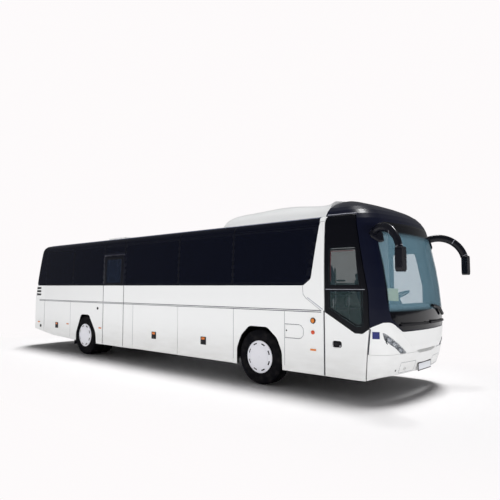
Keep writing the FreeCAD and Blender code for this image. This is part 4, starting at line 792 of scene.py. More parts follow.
    def piece(self, name: str, finish: Finish, body: str) -> bpy.types.Object:
        """Makes the object, dresses it, and lets it ride on a body.

        Args:
            name: The piece's name.
            finish: Its finish.
            body: The CAD body that it moves with.

        Returns:
            The object.
        """
        mesh = bpy.data.meshes.new(name)
        mesh.from_pydata([tuple(point) for point in self.points], [], self.faces)
        mesh.validate()
        work = bmesh.new()
        work.from_mesh(mesh)
        bmesh.ops.recalc_face_normals(work, faces=work.faces)
        work.to_mesh(mesh)
        work.free()
        mesh.shade_smooth()
        mesh.set_sharp_from_angle(angle=math.radians(SHARP_DEGREES))
        mesh.materials.append(finish.material())
        made = linked(name, mesh)
        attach(made, body)
        LOG.info("%s: %d faces on %s", name, len(mesh.polygons), body)
        return made


class Skin:
    """The outer surface of some CAD nodes, on which trim is laid."""

    def __init__(self, *nodes: str) -> None:
        """Collects the faces of those nodes."""
        points: list[Vector] = []
        faces: list[list[int]] = []
        for name in nodes:
            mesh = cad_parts[name].data
            base = len(points)
            points.extend(vertex.co.copy() for vertex in mesh.vertices)
            faces.extend([base + index for index in face.vertices] for face in mesh.polygons)
        self.tree = BVHTree.FromPolygons(points, faces)

    def hit(self, start: Vector, direction: Vector) -> Spot | None:
        """First point of the skin on a ray, with the normal that faces the ray's start."""
        point, normal, _index, _distance = self.tree.ray_cast(start, direction)
        if point is None:
            return None
        if normal.dot(direction) > 0:
            normal = -normal
        return point, normal

    def lay(self, line: Line, way: Way, step: float = 0.05) -> list[Spot]:
        """Points of a line drawn in side or end view, dropped on the skin.

        Args:
            line: Corners as (X, Z) for the sides or (Y, Z) for the ends.
            way: The direction that the skin is seen from.
            step: Greatest distance between points.

        Returns:
            Points on the skin with their normals.
        """
        out = Vector(way.value)
        laid: list[Spot] = []
        for a, z in spread(line, step):
            start = Vector((a, 0.0, z)) if out.y else Vector((0.0, a, z))
            found = self.hit(start + out * RAY_START, -out)
            if found is None:
                continue
            if laid and abs((found[0] - laid[-1][0]).dot(out)) > GAP_DEPTH:
                depth = laid[-1][0].dot(out)
                found = (found[0] + out * (depth - found[0].dot(out)), laid[-1][1])
            laid.append(found)
        return laid

    def side(self, line: Line, step: float = 0.05, way: Way = Way.RIGHT) -> list[Spot]:
        """A line in side view, given from the front datum, laid on the skin."""
        return self.lay([(at(x), z) for x, z in line], way, step)


def strips(
    name: str, finish: Finish, body: str, lines: Sequence[Sequence[Spot]], width: float, stand: float
) -> None:
    """Rounded strips along lines on the skin, as one piece."""
    draft = Draft()
    for line in lines:
        draft.bead(line, width, stand)
    draft.piece(name, finish, body)


def spread(line: Line, step: float) -> list[tuple[float, float]]:
    """A line with points no further apart than a step."""
    filled = [line[0]]
    for (ax, az), (bx, bz) in zip(line, line[1:]):
        count = max(1, math.ceil(math.hypot(bx - ax, bz - az) / step))
        filled.extend((ax + (bx - ax) * k / count, az + (bz - az) * k / count) for k in range(1, count + 1))
    return filled


def ring(x: float, z: float, radius: float, steps: int = 24) -> list[tuple[float, float]]:
    """A closed circle in side view."""
    line = [(x + radius * cos, z + radius * sin) for cos, sin in circle(steps)]
    return [*line, line[0]]


def box_line(x: tuple[float, float], z: tuple[float, float], corner: float) -> list[tuple[float, float]]:
    """A closed rectangle with round corners in side or end view.

    Args:
        x: Its two ends.
        z: Its foot and head.
        corner: Radius of its corners.

    Returns:
        The points, the first again at the end.
    """
    line = []
    for turn, (cx, cz) in enumerate((
        (x[1] - corner, z[1] - corner), (x[0] + corner, z[1] - corner),
        (x[0] + corner, z[0] + corner), (x[1] - corner, z[0] + corner),
    )):
        for k in range(5):
            angle = math.pi / 2 * (turn + k / 4)
            line.append((cx + corner * math.cos(angle), cz + corner * math.sin(angle)))
    return [*line, line[0]]


@dataclass
class Viewpoint:
    """The camera: where the photograph was taken from, and how wide it sees."""

    location: Point = (9.0256, -8.2396, 1.8156)
    pitch: float = 94.2011
    yaw: float = 41.108
    lens: float = 35.03
    sensor: float = 36.0
    clip_end: float = 400.0

    def turn(self) -> Euler:
        """The camera's turn."""
        return Euler((math.radians(self.pitch), 0.0, math.radians(self.yaw)))

    def ray(self, u: float, v: float) -> Spot:
        """The line of sight through a point of the photograph."""
        reach = self.lens / self.sensor * FRAME_PIXELS
        direction = Vector((u - FRAME_PIXELS / 2, FRAME_PIXELS / 2 - v, -reach))
        direction.rotate(self.turn())
        return Vector(self.location), direction.normalized()

    def camera(self) -> None:
        """Makes the camera and hands it to the scene."""
        data = bpy.data.cameras.new("camera")
        data.lens = self.lens
        data.sensor_width = self.sensor
        data.clip_end = self.clip_end
        made = linked("camera", data)
        made.location = self.location
        made.rotation_euler = self.turn()
        bpy.context.scene.camera = made


VIEW = Viewpoint()


# Studio


@dataclass
class Studio:
    """A pale floor that fades into the background, a wide light overhead, and soft lamps round the coach."""

    background: Colour = (0.985, 0.96, 0.965)
    floor_colour: Colour = (0.98, 0.965, 0.97)
    floor_roughness: float = 0.8
    floor_specular: float = 0.15
    floor_radius: float = 60.0
    floor_sides: int = 64
    plain_half: tuple[float, float] = (6.0, 1.3)
    fade: tuple[float, float] = (0.5, 3.6)
    soft_colour: Colour = (0.98, 0.985, 1.0)
    soft_strength: float = 0.16
    overhead_strength: float = 2.62
    overhead_angle: float = 16.0
    overhead_from: Point = (-0.04, 0.22, 1.0)
    lamp_height: float = 3.6
    aim_share: float = 0.25
    aim_z: float = 1.5
    lamps: tuple[tuple[str, Point, float, float], ...] = (
        ("right", (0.5, -15.0, 2.3), 18.0, 1180.0),
        ("left", (0.0, 15.0, 2.3), 18.0, 780.0),
        ("front", (20.0, -2.0, 2.6), 9.0, 900.0),
        ("rear", (-20.0, 0.0, 2.6), 9.0, 900.0),
    )

    def build(self) -> None:
        """Makes all of it. The soft lamps leave the floor out, so that the coach's shadow stays dark."""
        floor = self.floor()
        self.world()
        self.overhead()
        lit = bpy.data.collections.new("all_but_floor")
        lit.objects.link(floor)
        lit.collection_objects[0].light_linking.link_state = "EXCLUDE"
        for name, place, width, power in self.lamps:
            self.lamp(name, place, width, power).light_linking.receiver_collection = lit
        VIEW.camera()
        bpy.context.scene.view_settings.view_transform = "Standard"

    def overhead(self) -> None:
        """The wide soft light overhead, which throws the coach's shadow a little towards its right side."""
        data = bpy.data.lights.new("overhead", "SUN")
        data.energy = self.overhead_strength
        data.angle = math.radians(self.overhead_angle)
        linked("overhead", data).rotation_euler = Vector(self.overhead_from).to_track_quat("Z", "Y").to_euler()

    def floor(self) -> bpy.types.Object:
        """A disc of floor, plain near the coach and lost in the background further off."""
        rim = [(self.floor_radius * cos, self.floor_radius * sin, 0.0) for cos, sin in circle(self.floor_sides)]
        faces = [(0, 1 + k, 1 + (k + 1) % self.floor_sides) for k in range(self.floor_sides)]
        mesh = bpy.data.meshes.new("floor")
        mesh.from_pydata([(0.0, 0.0, 0.0), *rim], [], faces)
        mesh.materials.append(self.floor_material())
        made = linked("floor", mesh)
        return made

    def floor_material(self) -> bpy.types.Material:
        """Matt near the coach, the background's own light further off."""
        made = bpy.data.materials.new("studio_floor")
        graph = Graph(made, "ShaderNodeOutputMaterial")
        matt = graph.node("ShaderNodeBsdfPrincipled", {}, {
            "Base Color": self.floor_colour,
            "Roughness": self.floor_roughness,
            "Specular IOR Level": self.floor_specular,
        })
        light = graph.node("ShaderNodeEmission", {}, {"Color": self.background, "Strength": 1.0})
        along, across = ((place.size() - half).larger(0.0) for place, half in zip(graph.place(), self.plain_half))
        graph.backdrop(graph.math("SQRT", along * along + across * across).ramp(*self.fade), matt, light)
        return made

    def world(self) -> None:
        """Background for the eye and through glass, and a softer light for everything else."""
        made = bpy.data.worlds.new("studio")
        graph = Graph(made, "ShaderNodeOutputWorld")
        soft, shown = (
            graph.node("ShaderNodeBackground", {}, {"Color": colour, "Strength": strength})
            for colour, strength in ((self.soft_colour, self.soft_strength), (self.background, 1.0))
        )
        graph.backdrop(1.0, soft, shown)
        bpy.context.scene.world = made

    def lamp(self, name: str, place: Point, width: float, power: float) -> bpy.types.Object:
        """A soft rectangular lamp that gloss doesn't show.

        Args:
            name: Its name.
            place: Where it hangs.
            width: Its width.
            power: Its power in watts.

        Returns:
            The lamp.
        """
        data = bpy.data.lights.new(name, "AREA")
        data.shape = "RECTANGLE"
        data.size = width
        data.size_y = self.lamp_height
        data.energy = power
        made = linked(name, data)
        made.visible_glossy = False
        made.location = place
        aim = Vector((place[0] * self.aim_share, 0.0, self.aim_z))
        made.rotation_euler = (aim - Vector(place)).to_track_quat("-Z", "Y").to_euler()
        return made


# Trim of the sides


@dataclass
class SideTrim:
    """Mouldings, panel seams and small fittings of one side."""

    side: Side
    moulding_z: tuple[float, float] = (1.400, 1.374)
    moulding_ends: tuple[float, float] = (-8.62, 1.41)
    doorway: tuple[float, float] = (-5.165, -4.275)
    seam_x: tuple[float, ...] = (-8.305, -6.79, -5.17, -4.27, -3.88, -2.25, -0.60, 0.642, 1.465)
    right_seam_x: tuple[float, ...] = (-5.17, -4.27, 0.642)
    pane_x: tuple[float, ...] = (-6.70, -5.16, -4.28, -2.25, -0.63)
    door_pane_x: tuple[float, ...] = (-5.16, -4.28)
    handles: tuple[tuple[str, float], ...] = (
        ("luggage_flap_rear", -3.065), ("luggage_flap_front", -1.44), ("service_flap", -7.53))
    handle_half: float = 0.078
    handle_z: tuple[float, float] = (0.615, 0.775)
    face_y: float = 1.275

    def __post_init__(self) -> None:
        """Notes the side's name, the way it is seen and its walls, skirts and flaps."""
        self.tag = self.side.name.lower()
        self.way = Way[self.side.name]
        self.is_right = self.side is Side.RIGHT
        common = ("rear_wall", "rear_bumper", "front_panel", "front_bumper", "front_mask", "side_glass")
        own = ("side_wall", "skirt", "service_flap", "luggage_flap_rear", "luggage_flap_front")
        doors = ("front_door", "mid_door", "fuel_flap") if self.is_right else ()
        self.on = Skin(*common, *(f"{part}_{self.tag}" for part in own), *doors)

    def build(self) -> None:
        """Makes the side's trim."""
        self.lines()
        self.flap_handles()
        self.fittings()

    def strips(
        self, name: str, finish: Finish, lines: Sequence[Line], step: float, width: float, stand: float
    ) -> None:
        """Rounded strips on the side, as one piece."""
        laid = [self.on.side(line, step, self.way) for line in lines]
        strips(f"{name}_{self.tag}", finish, "coach", laid, width, stand)

    def lines(self) -> None:
        """Mouldings, seams, the line that falls from the glass, slats behind the last window, and pane joints."""
        start, end = self.moulding_ends
        stretches = [(start, self.doorway[0]), (self.doorway[1], end)] if self.is_right else [(start, end)]
        mouldings = [[(low, z), (high, z)] for z in self.moulding_z for low, high in stretches]
        seams = [[(x, 0.42), (x, 1.365)] for x in self.seam_x if self.is_right or x not in self.right_seam_x]
        slats = [[(-8.79, z), (-8.54, z)] for z in (1.745, 1.65, 1.555)]
        joints = [
            [(x + 0.009, 2.60 if self.is_right and x in self.door_pane_x else 1.83), (x + 0.009, 2.975)]
            for x in self.pane_x
        ]
        fall = [(1.035, 1.81), (1.045, 1.67), (1.105, 1.60), (1.41, 1.40)]
        self.strips("mouldings", MOULDING, mouldings, 0.2, 0.013, 0.005)
        self.strips("panel_seams", SEAM, seams, 0.1, 0.008, 0.0012)
        self.strips("swoosh_fine", SEAM, [fall], 0.02, 0.007, 0.0015)
        self.strips("swoosh_thick", TRIM, [[(1.13, 1.615), (1.44, 1.42)]], 0.03, 0.016, 0.003)
        self.strips("rear_slats", BLACK, slats, 0.02, 0.058, 0.006)
        self.strips("pane_joints", SEAL, joints, 0.04, 0.026, 0.003)
        self.strips("pillar_seam", SEAM, [[(1.35, 2.905), (1.462, 2.912)]], 0.02, 0.007, 0.0012)

    def flap_handles(self) -> None:
        """A black grip with an orange top on each luggage flap and on the service flap."""
        foot, head = self.handle_z
        for flap, x in self.handles:
            body = f"{flap}_{self.tag}"
            for name, share, stand, low, high, rounding, finish in (
                ("grip", 1.0, 0.011, foot, head, 0.012, BLACK),
                ("grip_cap", 0.62, 0.014, head - 0.058, head - 0.012, 0.006, ORANGE),
            ):
                half = self.handle_half * share
                y = sorted(self.side.value * (self.face_y + depth) for depth in (-0.004, stand))
                pad = Draft().block((at(x - half), y[0], low), (at(x + half), y[1], high), rounding)
                pad.piece(f"{name}_{body}", finish, body)

    def fittings(self) -> None:
        """Lamp rings, reflector, valve, the small round cap by the rear wheel and the flap's marker."""
        self.strips("lamp_rings", BLACK, [ring(1.245, 1.226, 0.042, 28)], 0.02, 0.020, 0.014)
        for name, x, z, radius, stand, finish in (
            ("round_reflector", 1.243, 1.028, 0.0345, 0.0145, REFLEX),
            ("side_valve", -5.41, 1.232, 0.034, 0.012, BLACK),
            ("rear_cap", -8.5, 0.63, 0.042, 0.01, BLACK),
        ):
            centre, normal = self.on.side([(x, z), (x + 0.001, z)], 0.05, self.way)[0]
            profile = [(-0.003, 0.0), (-0.003, radius), (stand * 0.7, radius), (stand * 0.97, radius * 0.8),
                       (stand, radius * 0.35), (stand, 0.0)]
            Draft().lathe(profile, centre, normal, 28).piece(f"{name}_{self.tag}", finish, "coach")
        marker = self.on.side([(-6.975, 0.757), (-6.865, 0.757)], 0.03, self.way)
        strips(f"flap_marker_{self.tag}", AMBER, f"service_flap_{self.tag}", [marker], 0.03, 0.01)


# Doors


@dataclass
class DoorTrim:
    """Window frames, bright bar, seams, handle, lock and hand rail of the two doors and the fuel flap."""

    rail_x: float = 1.60
    rail_y: float = -1.205
    lock_x: float = 0.685

    def build(self) -> None:
        """Makes the doors' trim."""
        self.front_frames(Skin("front_door", "front_door_glass"))
        self.front_handle()
        frame_line = box_line((-5.06, -4.38), (1.86, 2.50), 0.06)
        frame_laid = Skin("mid_door", "mid_door_glass").side(frame_line, 0.04)
        strips("mid_door_frame", SEAL, "mid_door", [frame_laid], 0.05, 0.005)
        self.seams()
        self.rail()
        self.fuel_lock()

    def fuel_lock(self) -> None:
        """The small dark lock at the rear edge of the fuel flap, and the seam round the flap."""
        spots = [(self.lock_x, 1.03), (self.lock_x + 0.001, 1.03)]
        centre, normal = Skin("fuel_flap").side(spots)[0]
        profile = [(-0.002, 0.0), (-0.002, 0.014), (0.004, 0.014), (0.006, 0.010), (0.006, 0.0)]
        Draft().lathe(profile, centre, normal, 24).piece("fuel_flap_lock", BLACK, "fuel_flap")
        edge = [(0.65, 0.9), (0.945, 0.9), (1.0, 0.915), (1.04, 0.96), (1.051, 1.02), (1.04, 1.085), (1.0, 1.13),
                (0.945, 1.145), (0.65, 1.145)]
        strips("fuel_flap_seam", SEAM, "coach", [Skin("skirt_right").side(edge, 0.03)], 0.007, 0.001)

    def front_frames(self, on: Skin) -> None:
        """Dark frames round both panes, the bright bar between them and a dark red edge."""
        upper = [(1.575, 1.80), (1.575, 2.41), (2.065, 2.41), (2.125, 1.80), (1.575, 1.80)]
        lower = [(1.575, 1.735), (2.165, 1.735), (2.17, 1.20), (2.07, 1.185), (1.575, 1.455), (1.575, 1.735)]
        for name, finish, lines, width, stand in (
            ("front_door_frames", SEAL, (upper, lower), 0.022, 0.004),
            ("front_door_bar", TRIM, ([(1.50, 1.757), (2.22, 1.757)],), 0.009, 0.005),
            ("front_door_red_edge", RED_LINE, ([(1.60, 1.90), (1.60, 2.385), (2.04, 2.385)],), 0.007, 0.006),
        ):
            strips(name, finish, "front_door", [on.side(line, 0.03) for line in lines], width, stand)

    def front_handle(self) -> None:
        """The dark lining of the recess, the pull bar across it and the lock."""
        lining = Draft().block((at(1.624), -1.2535, 0.814), (at(1.791), -1.2485, 0.916), 0.002)
        lining.piece("handle_lining", BLACK, "front_door")
        pull = Draft().block((at(1.64), -1.276, 0.868), (at(1.775), -1.262, 0.898), 0.006)
        pull.piece("handle_pull", BLACK, "front_door")
        profile = [(0.0, 0.0), (0.0, 0.011), (0.006, 0.010), (0.006, 0.0)]
        lock = Draft().lathe(profile, Vector((at(1.755), -1.2535, 0.838)), Vector((0, -1, 0)), 20)
        lock.piece("handle_lock", CHROME, "front_door")

    def seams(self) -> None:
        """Dark rubber in the gap round both doors, and the mouldings' stretch on the middle door."""
        on = Skin("front_door", "front_mask", "front_panel", "skirt_right", "side_wall_right")
        gaps = ([(1.463, 0.34), (1.463, 1.40)], [(2.214, 0.345), (2.235, 0.55), (2.30, 1.14)])
        strips("front_door_seal", NAVY_SEAM, "coach", [on.side(line) for line in gaps], 0.017, 0.0025)
        leaf = Skin("mid_door", "side_wall_right", "skirt_right", "side_glass")
        mid = Draft()
        for x in (-5.170, -4.270):
            mid.bead(leaf.side([(x, 0.36), (x, 2.59)], 0.1), 0.012, 0.002)
        mid.bead(leaf.side([(-5.17, 2.595), (-4.27, 2.595)], 0.1), 0.03, 0.004)
        mid.piece("mid_door_seal", NAVY_SEAM, "coach")
        cross = [leaf.side([(-5.145, z), (-4.295, z)], 0.2) for z in (1.400, 1.374)]
        strips("mid_door_mouldings", MOULDING, "mid_door", cross, 0.013, 0.005)

    def rail(self) -> None:
        """The hand rail inside the front leaf."""
        rail = Draft().tube([Vector((at(self.rail_x), self.rail_y, z)) for z in (0.55, 0.9, 1.3, 1.6)], 0.014, 12)
        for z in (0.55, 1.60):
            rail.tube([Vector((at(self.rail_x), y, z)) for y in (self.rail_y - 0.02, self.rail_y)], 0.014, 12)
        rail.piece("front_door_rail", CHROME, "front_door")


# Nose


@dataclass
class NoseTrim:
    """Lamp insides, creases, blank plate, towing cover, card and edge lines of the nose; the line along the dome's
    lower edge is a painted highlight.
    """

    lamp_pixels: tuple[tuple[float, float, float], ...] = (
        (390.2, 341.0, 0.050), (395.9, 345.3, 0.052), (401.6, 350.3, 0.040))
    crease: tuple[tuple[float, float], ...] = ((400.4, 331.0), (406.0, 338.0), (412.0, 346.0), (418.0, 353.0))
    lamp_depth: float = 0.016
    lamp_splay: float = 0.45
    plate_x: float = 2.636
    square_half: float = 0.055

    def build(self) -> None:
        """Makes the nose's trim."""
        self.panel = Skin("front_panel", "front_bumper", "front_mask", "windscreen")
        self.lamps()
        self.creases()
        self.plate()
        self.tow_cover()
        self.card()
        self.mask_line()
        # Painted highlight along the dome's lower edge.
        self.painted_dome_highlight()

    def seen(self, on: Skin, u: float, v: float) -> Spot:
        """Point of a skin behind a point of the photograph."""
        found = on.hit(*VIEW.ray(u, v))
        if found is None:
            raise ValueError(f"nothing at {u}, {v}")
        return found

    def lamps(self) -> None:
        """Three reflector bowls with bulbs behind each clear cover, in a dark bezel."""
        cover = Skin("headlamps")
        bowls, bulbs, bezels = Draft(), Draft(), Draft()
        bulb = [(-0.036, 0.0), (-0.034, 0.013), (-0.012, 0.015), (-0.003, 0.010), (0.0, 0.0)]
        for u, v, radius in self.lamp_pixels:
            spot, _normal = self.seen(cover, u, v)
            bowl = [(-0.040, 0.012), (-0.036, radius * 0.55), (-0.018, radius * 0.86), (0.0, radius),
                    (0.003, radius * 1.05), (-0.004, radius * 1.08)]
            bezel = [(-0.012, radius * 1.08), (0.004, radius * 1.10), (0.002, radius * 1.30),
                     (-0.020, radius * 1.36)]
            for sign in (1, -1):
                centre = Vector((spot.x - self.lamp_depth, spot.y * sign, spot.z))
                out = Vector((1.0, math.copysign(self.lamp_splay, centre.y), 0.0)).normalized()
                bowls.lathe(bowl, centre, out, 28)
                bulbs.lathe(bulb, centre, out, 20)
                bezels.lathe(bezel, centre, out, 28)
        bowls.piece("lamp_bowls", REFLECTOR, "coach")
        bulbs.piece("lamp_bulbs", BULB, "coach")
        bezels.piece("lamp_bezels", BLACK, "coach")

    def creases(self) -> None:
        """The raised V that runs from the lamps' heads to the slotted grille."""
        flips = [Vector((1.0, sign, 1.0)) for sign in (1.0, -1.0)]
        laid = [[(point * flip, normal * flip) for point, normal in self.ridge()] for flip in flips]
        strips("nose_creases", WHITE, "coach", laid, 0.012, 0.004)

    def ridge(self) -> list[Spot]:
        """The crease of the side that the photograph shows."""
        return [self.seen(self.panel, u, v) for u, v in self.crease]

    def plate(self) -> None:
        """A blank plate in its dark frame."""
        x = at(self.plate_x)
        rim = Draft().block((x - 0.006, -0.275, 0.412), (x + 0.004, 0.275, 0.548), 0.004)
        rim.piece("plate_frame", BLACK, "coach")
        face = Draft().block((x - 0.002, -0.258, 0.428), (x + 0.0065, 0.258, 0.532), 0.003)
        face.piece("front_plate_face", BLANK_PLATE, "coach")

    def tow_cover(self) -> None:
        """The seam of the towing panel on each side of the plate."""
        draft = Draft()
        for low, high in ((-0.80, -0.36), (0.36, 0.80)):
            line = box_line((low, high), (0.435, 0.60), 0.02)
            draft.bead(self.panel.lay(line, Way.FRONT, 0.05), 0.006, 0.001)
        for low, high in ((-1.20, -0.47), (0.47, 1.20)):
            draft.bead(self.panel.lay([(low, 0.749), (high, 0.749)], Way.FRONT, 0.04), 0.009, 0.001)
        draft.piece("nose_seams", SEAM, "coach")
        spot, normal = self.seen(self.panel, 395.4, 370.8)
        slit = [(-0.002, 0.0), (-0.002, 0.016), (0.001, 0.016), (0.001, 0.0)]
        Draft().lathe(slit, spot, normal, 20).piece("tow_cover_slot", BLACK, "coach")

    def card(self) -> None:
        """A blank card behind the foot of the windscreen, and the blank blue square outside."""
        screen = Skin("windscreen")
        corners = ((388.2, 300.6), (398.6, 301.2), (398.2, 288.6), (387.4, 288.2))
        spots = [self.seen(screen, u, v)[0] for u, v in corners]
        inner = [spot + (spot - Vector(VIEW.location)).normalized() * 0.035 for spot in spots]
        Draft().prism(inner, Vector((-0.004, 0.0, 0.0))).piece("blank_card", CARD, "coach")
        mask = Skin("front_mask", "front_door", "front_panel", "front_door_glass", "windscreen")
        middle, normal = self.seen(mask, 376.0, 335.6)
        across = Vector((0, 0, 1)).cross(normal).normalized() * self.square_half
        up = normal.cross(across)
        signs = ((-1, -1), (1, -1), (1, 1), (-1, 1))
        outline = [middle + across * a + up * b + normal * 0.001 for a, b in signs]
        body = "front_door" if middle.x < at(2.19) else "coach"
        Draft().prism(outline, normal * 0.0015).piece("blank_blue_square", BLANK_BLUE, body)

    def painted_dome_highlight(self) -> None:
        """The bright strip along the dome's lower edge, over the front door: a painted highlight, a pale bead
        standing for the light caught at that edge.
        """
        on = Skin("front_mask", "roof", "aircon_unit")
        laid = [on.side([(1.50, 3.012), (2.03, 3.005)], 0.04, way) for way in (Way.RIGHT, Way.LEFT)]
        # Painted highlight: the pale trim bead stands in for a highlight line.
        strips("dome_highlight_strip", TRIM, "coach", laid, 0.012, 0.003)

    def mask_line(self) -> None:
        """Fine rubber line between the dark mask and the white panel."""
        on = Skin("front_mask", "front_panel")
        line = [(k / 20, 1.092 + max(abs(k / 20) - 0.84, 0.0) * 0.64) for k in range(-20, 21)]
        strips("mask_line", SEAL, "coach", [on.lay(line, Way.FRONT)], 0.007, 0.0015)


# Wheels


@dataclass
class Wheels:
    """Tyres with tread, and the slots and rings of the wheel covers."""

    radius: float = 0.505
    rim: float = 0.286
    width: float = 0.295
    face_y: float = 1.25
    twin: float = 0.33
    front_x: float = 0.04
    wheelbase: float = 6.075
    slots: int = 8
    slot_radius: float = 0.246
    lugs: int = 60
    grooves: tuple[float, ...] = (0.066, 0.112, 0.170, 0.216)
    groove_shape: tuple[tuple[float, float], ...] = (
        (-0.001, 0.0015), (0.002, 0.011), (0.010, 0.011), (0.013, 0.0015))

    def build(self) -> None:
        """Makes all four corners."""
        for end, x in (("front", self.front_x), ("rear", self.front_x - self.wheelbase)):
            for side in Side:
                tag = f"{end}_{side.name.lower()}"
                centre = Vector((at(x), 0.0, self.radius))
                faces = [self.face_y] if end == "front" else [self.face_y, self.face_y - self.twin]
                self.tyres(tag, centre, side, faces)
                self.cover(tag, centre, side)
        self.mud_flaps()

    def mud_flaps(self) -> None:
        """Rubber sheets that hang behind the rear wheels."""
        draft = Draft()
        for side in Side:
            low, high = sorted((side.value * 0.66, side.value * 1.21))
            draft.block((at(-6.655), low, 0.215), (at(-6.643), high, 0.47), 0.004)
        draft.piece("mud_flaps", SEAL, "coach")

    def section(self) -> list[tuple[float, float]]:
        """Section of a tyre: distance in from its outer face, and radius."""
        wall = [
            (0.020, self.rim + 0.001), (0.012, self.rim + 0.018), (0.010, 0.330), (0.004, 0.345), (0.003, 0.352),
            (0.004, 0.359), (0.0012, 0.372), (0.0008, 0.398), (0.002, 0.430), (0.003, 0.438), (0.0045, 0.445),
            (0.0085, 0.468), (0.014, 0.483), (0.022, 0.4925), (0.033, 0.4985),
        ]
        tread = [(start + along, self.radius - deep) for start in self.grooves for along, deep in self.groove_shape]
        return [*wall, *tread, *((self.width - along, radius) for along, radius in reversed(wall))]

    def tyres(self, tag: str, centre: Vector, side: Side, faces: Sequence[float]) -> None:
        """One body's tyres, which stand for the CAD tyre.

        Args:
            tag: End and side.
            centre: Middle of the axle.
            side: Which side.
            faces: Distances of the outer faces from the centre plane.
        """
        out = Vector((0, side.value, 0))
        draft = Draft()
        for face in faces:
            outline = [(-along, radius) for along, radius in self.section()]
            outline.append(outline[0])
            draft.lathe(outline, centre + out * face, out, 96)
            self.blocks(draft, centre + out * face, side)
        tyre = draft.piece(f"tread_{tag}", TYRE, f"wheel_{tag}")
        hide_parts(f"tyre_{tag}")

    def blocks(self, draft: Draft, face: Vector, side: Side) -> None:
        """Shoulder lugs across the tread's edges.

        Args:
            draft: Where they go.
            face: Middle of the tyre's outer face.
            side: Which side.
        """
        for cos, sin in circle(self.lugs):
            out = Vector((cos, 0, sin))
            along = Vector((-sin, 0, cos))
            for start, end in ((0.020, 0.052), (self.width - 0.052, self.width - 0.020)):
                inner, outer = self.radius - 0.016, self.radius - 0.0006
                shape = ((start, inner - 0.004), (start + 0.006, outer - 0.006), (end, outer), (end, inner))
                corners = [face + out * r + Vector((0, -side.value * depth, 0)) for depth, r in shape]
                draft.prism([corner - along * 0.018 for corner in corners], along * 0.036)

    def cover(self, tag: str, centre: Vector, side: Side) -> None:
        """Dark slots in a ring near the rim, a rim ring, and the edge of the flat middle."""
        way = Way[side.name]
        on = Skin(f"wheel_{tag}")
        x, _y, z = centre
        slots, rings = Draft(), Draft()
        for k in range(self.slots):
            turns = [2 * math.pi * (k + 0.5) / self.slots + turn for turn in (-0.16, -0.08, 0.0, 0.08, 0.16)]
            arc = [(x + self.slot_radius * math.cos(turn), z + self.slot_radius * math.sin(turn)) for turn in turns]
            slots.bead(on.lay(arc, way, 0.02), 0.024, 0.0025)
        slots.piece(f"cover_slots_{tag}", BLACK, f"wheel_{tag}")
        for radius, width in ((0.287, 0.010), (0.205, 0.006)):
            rings.bead(on.lay(ring(x, z, radius, 64), way), width, 0.004)
        rings.piece(f"cover_rings_{tag}", COVER, f"wheel_{tag}")


# Mirrors and wipers


@dataclass
class MirrorTrim:
    """Glasses, joint bands and feet of the two mirrors."""

    root: Point = (2.27, 1.09, 2.665)
    crown: Point = (2.6195, 1.285, 2.705)
    tip: Point = (2.885, 1.455, 2.365)
    half_deep: float = 0.068
    half_wide: float = 0.042
    foot: tuple[tuple[float, float], ...] = (
        (1.02, 2.735), (1.13, 2.72), (1.165, 2.66), (1.16, 2.58), (1.08, 2.50), (1.0, 2.52), (0.985, 2.64))

    def build(self) -> None:
        """Makes both."""
        glasses, joints, feet = Draft(), Draft(), Draft()
        for sign in (-1, 1):
            y = sorted((sign * 1.395, sign * 1.525))
            for foot, head in ((2.13, 2.36), (2.045, 2.115)):
                glasses.block((at(2.8455), y[0], foot), (at(2.852), y[1], head), 0.002)
            for share in (0.60, 0.965):
                self.band(joints, sign, share)
            self.seat(feet, sign)
        glasses.piece("mirror_glasses", MIRROR, "coach")
        joints.piece("mirror_joints", TRIM, "coach")
        feet.piece("mirror_feet", ARM_BLACK, "coach")

    def band(self, draft: Draft, sign: int, share: float) -> None:
        """A thin pale band round the arm.

        Args:
            draft: Where it goes.
            sign: Which side.
            share: How far along the arm, 0 to 1.
        """
        a, b, c = (Vector((at(x), y * sign, z)) for x, y, z in (self.root, self.crown, self.tip))
        normal = (b - a).cross(c - a).normalized()
        centre = self.centre_of(a, b, c, normal)
        start = a - centre
        sweep = start.angle(c - centre)
        if start.cross(c - centre).dot(normal) < 0:
            sweep = 2 * math.pi - sweep
        out = start.normalized()
        ahead = normal.cross(out)
        angle = sweep * share
        along = out * math.cos(angle) + ahead * math.sin(angle)
        tangent = ahead * math.cos(angle) - out * math.sin(angle)
        middle = centre + along * start.length
        rows = []
        edge = ((0.98, -0.004), (1.02, -0.003), (1.02, 0.003), (0.98, 0.004))
        for cos, sin in circle(32):
            ray = along * (self.half_deep * cos) + normal * (self.half_wide * sin)
            rows.append([middle + ray * grow + tangent * shift for grow, shift in edge])
        draft.grid(rows, around=True, loop=True)

    @staticmethod
    def centre_of(a: Vector, b: Vector, c: Vector, normal: Vector) -> Vector:
        """Centre of the circle through three points."""
        ab, ac = b - a, c - a
        cross = ab.cross(ac)
        reach = cross.cross(ab) * ac.length_squared + ac.cross(cross) * ab.length_squared
        return a + reach / (2 * cross.length_squared)

    def seat(self, draft: Draft, sign: int) -> None:
        """The foot that spreads the arm's root over the mask.

        Args:
            draft: Where it goes.
            sign: Which side.
        """
        on = Skin("front_mask", "windscreen")
        found = [on.hit(Vector((RAY_START, y * sign, z)), Vector((-1, 0, 0))) for y, z in self.foot]
        points = [hit[0] for hit in found]
        out = sum((hit[1] for hit in found), Vector()).normalized()
        middle = sum(points, Vector()) / len(points)
        steps = ((1.0, -0.006), (1.0, 0.018), (0.93, 0.030), (0.7, 0.040), (0.3, 0.044))
        rows = [[middle + (point - middle) * share + out * lift for point in points] for share, lift in steps]
        draft.grid(rows, around=True, ends=True)


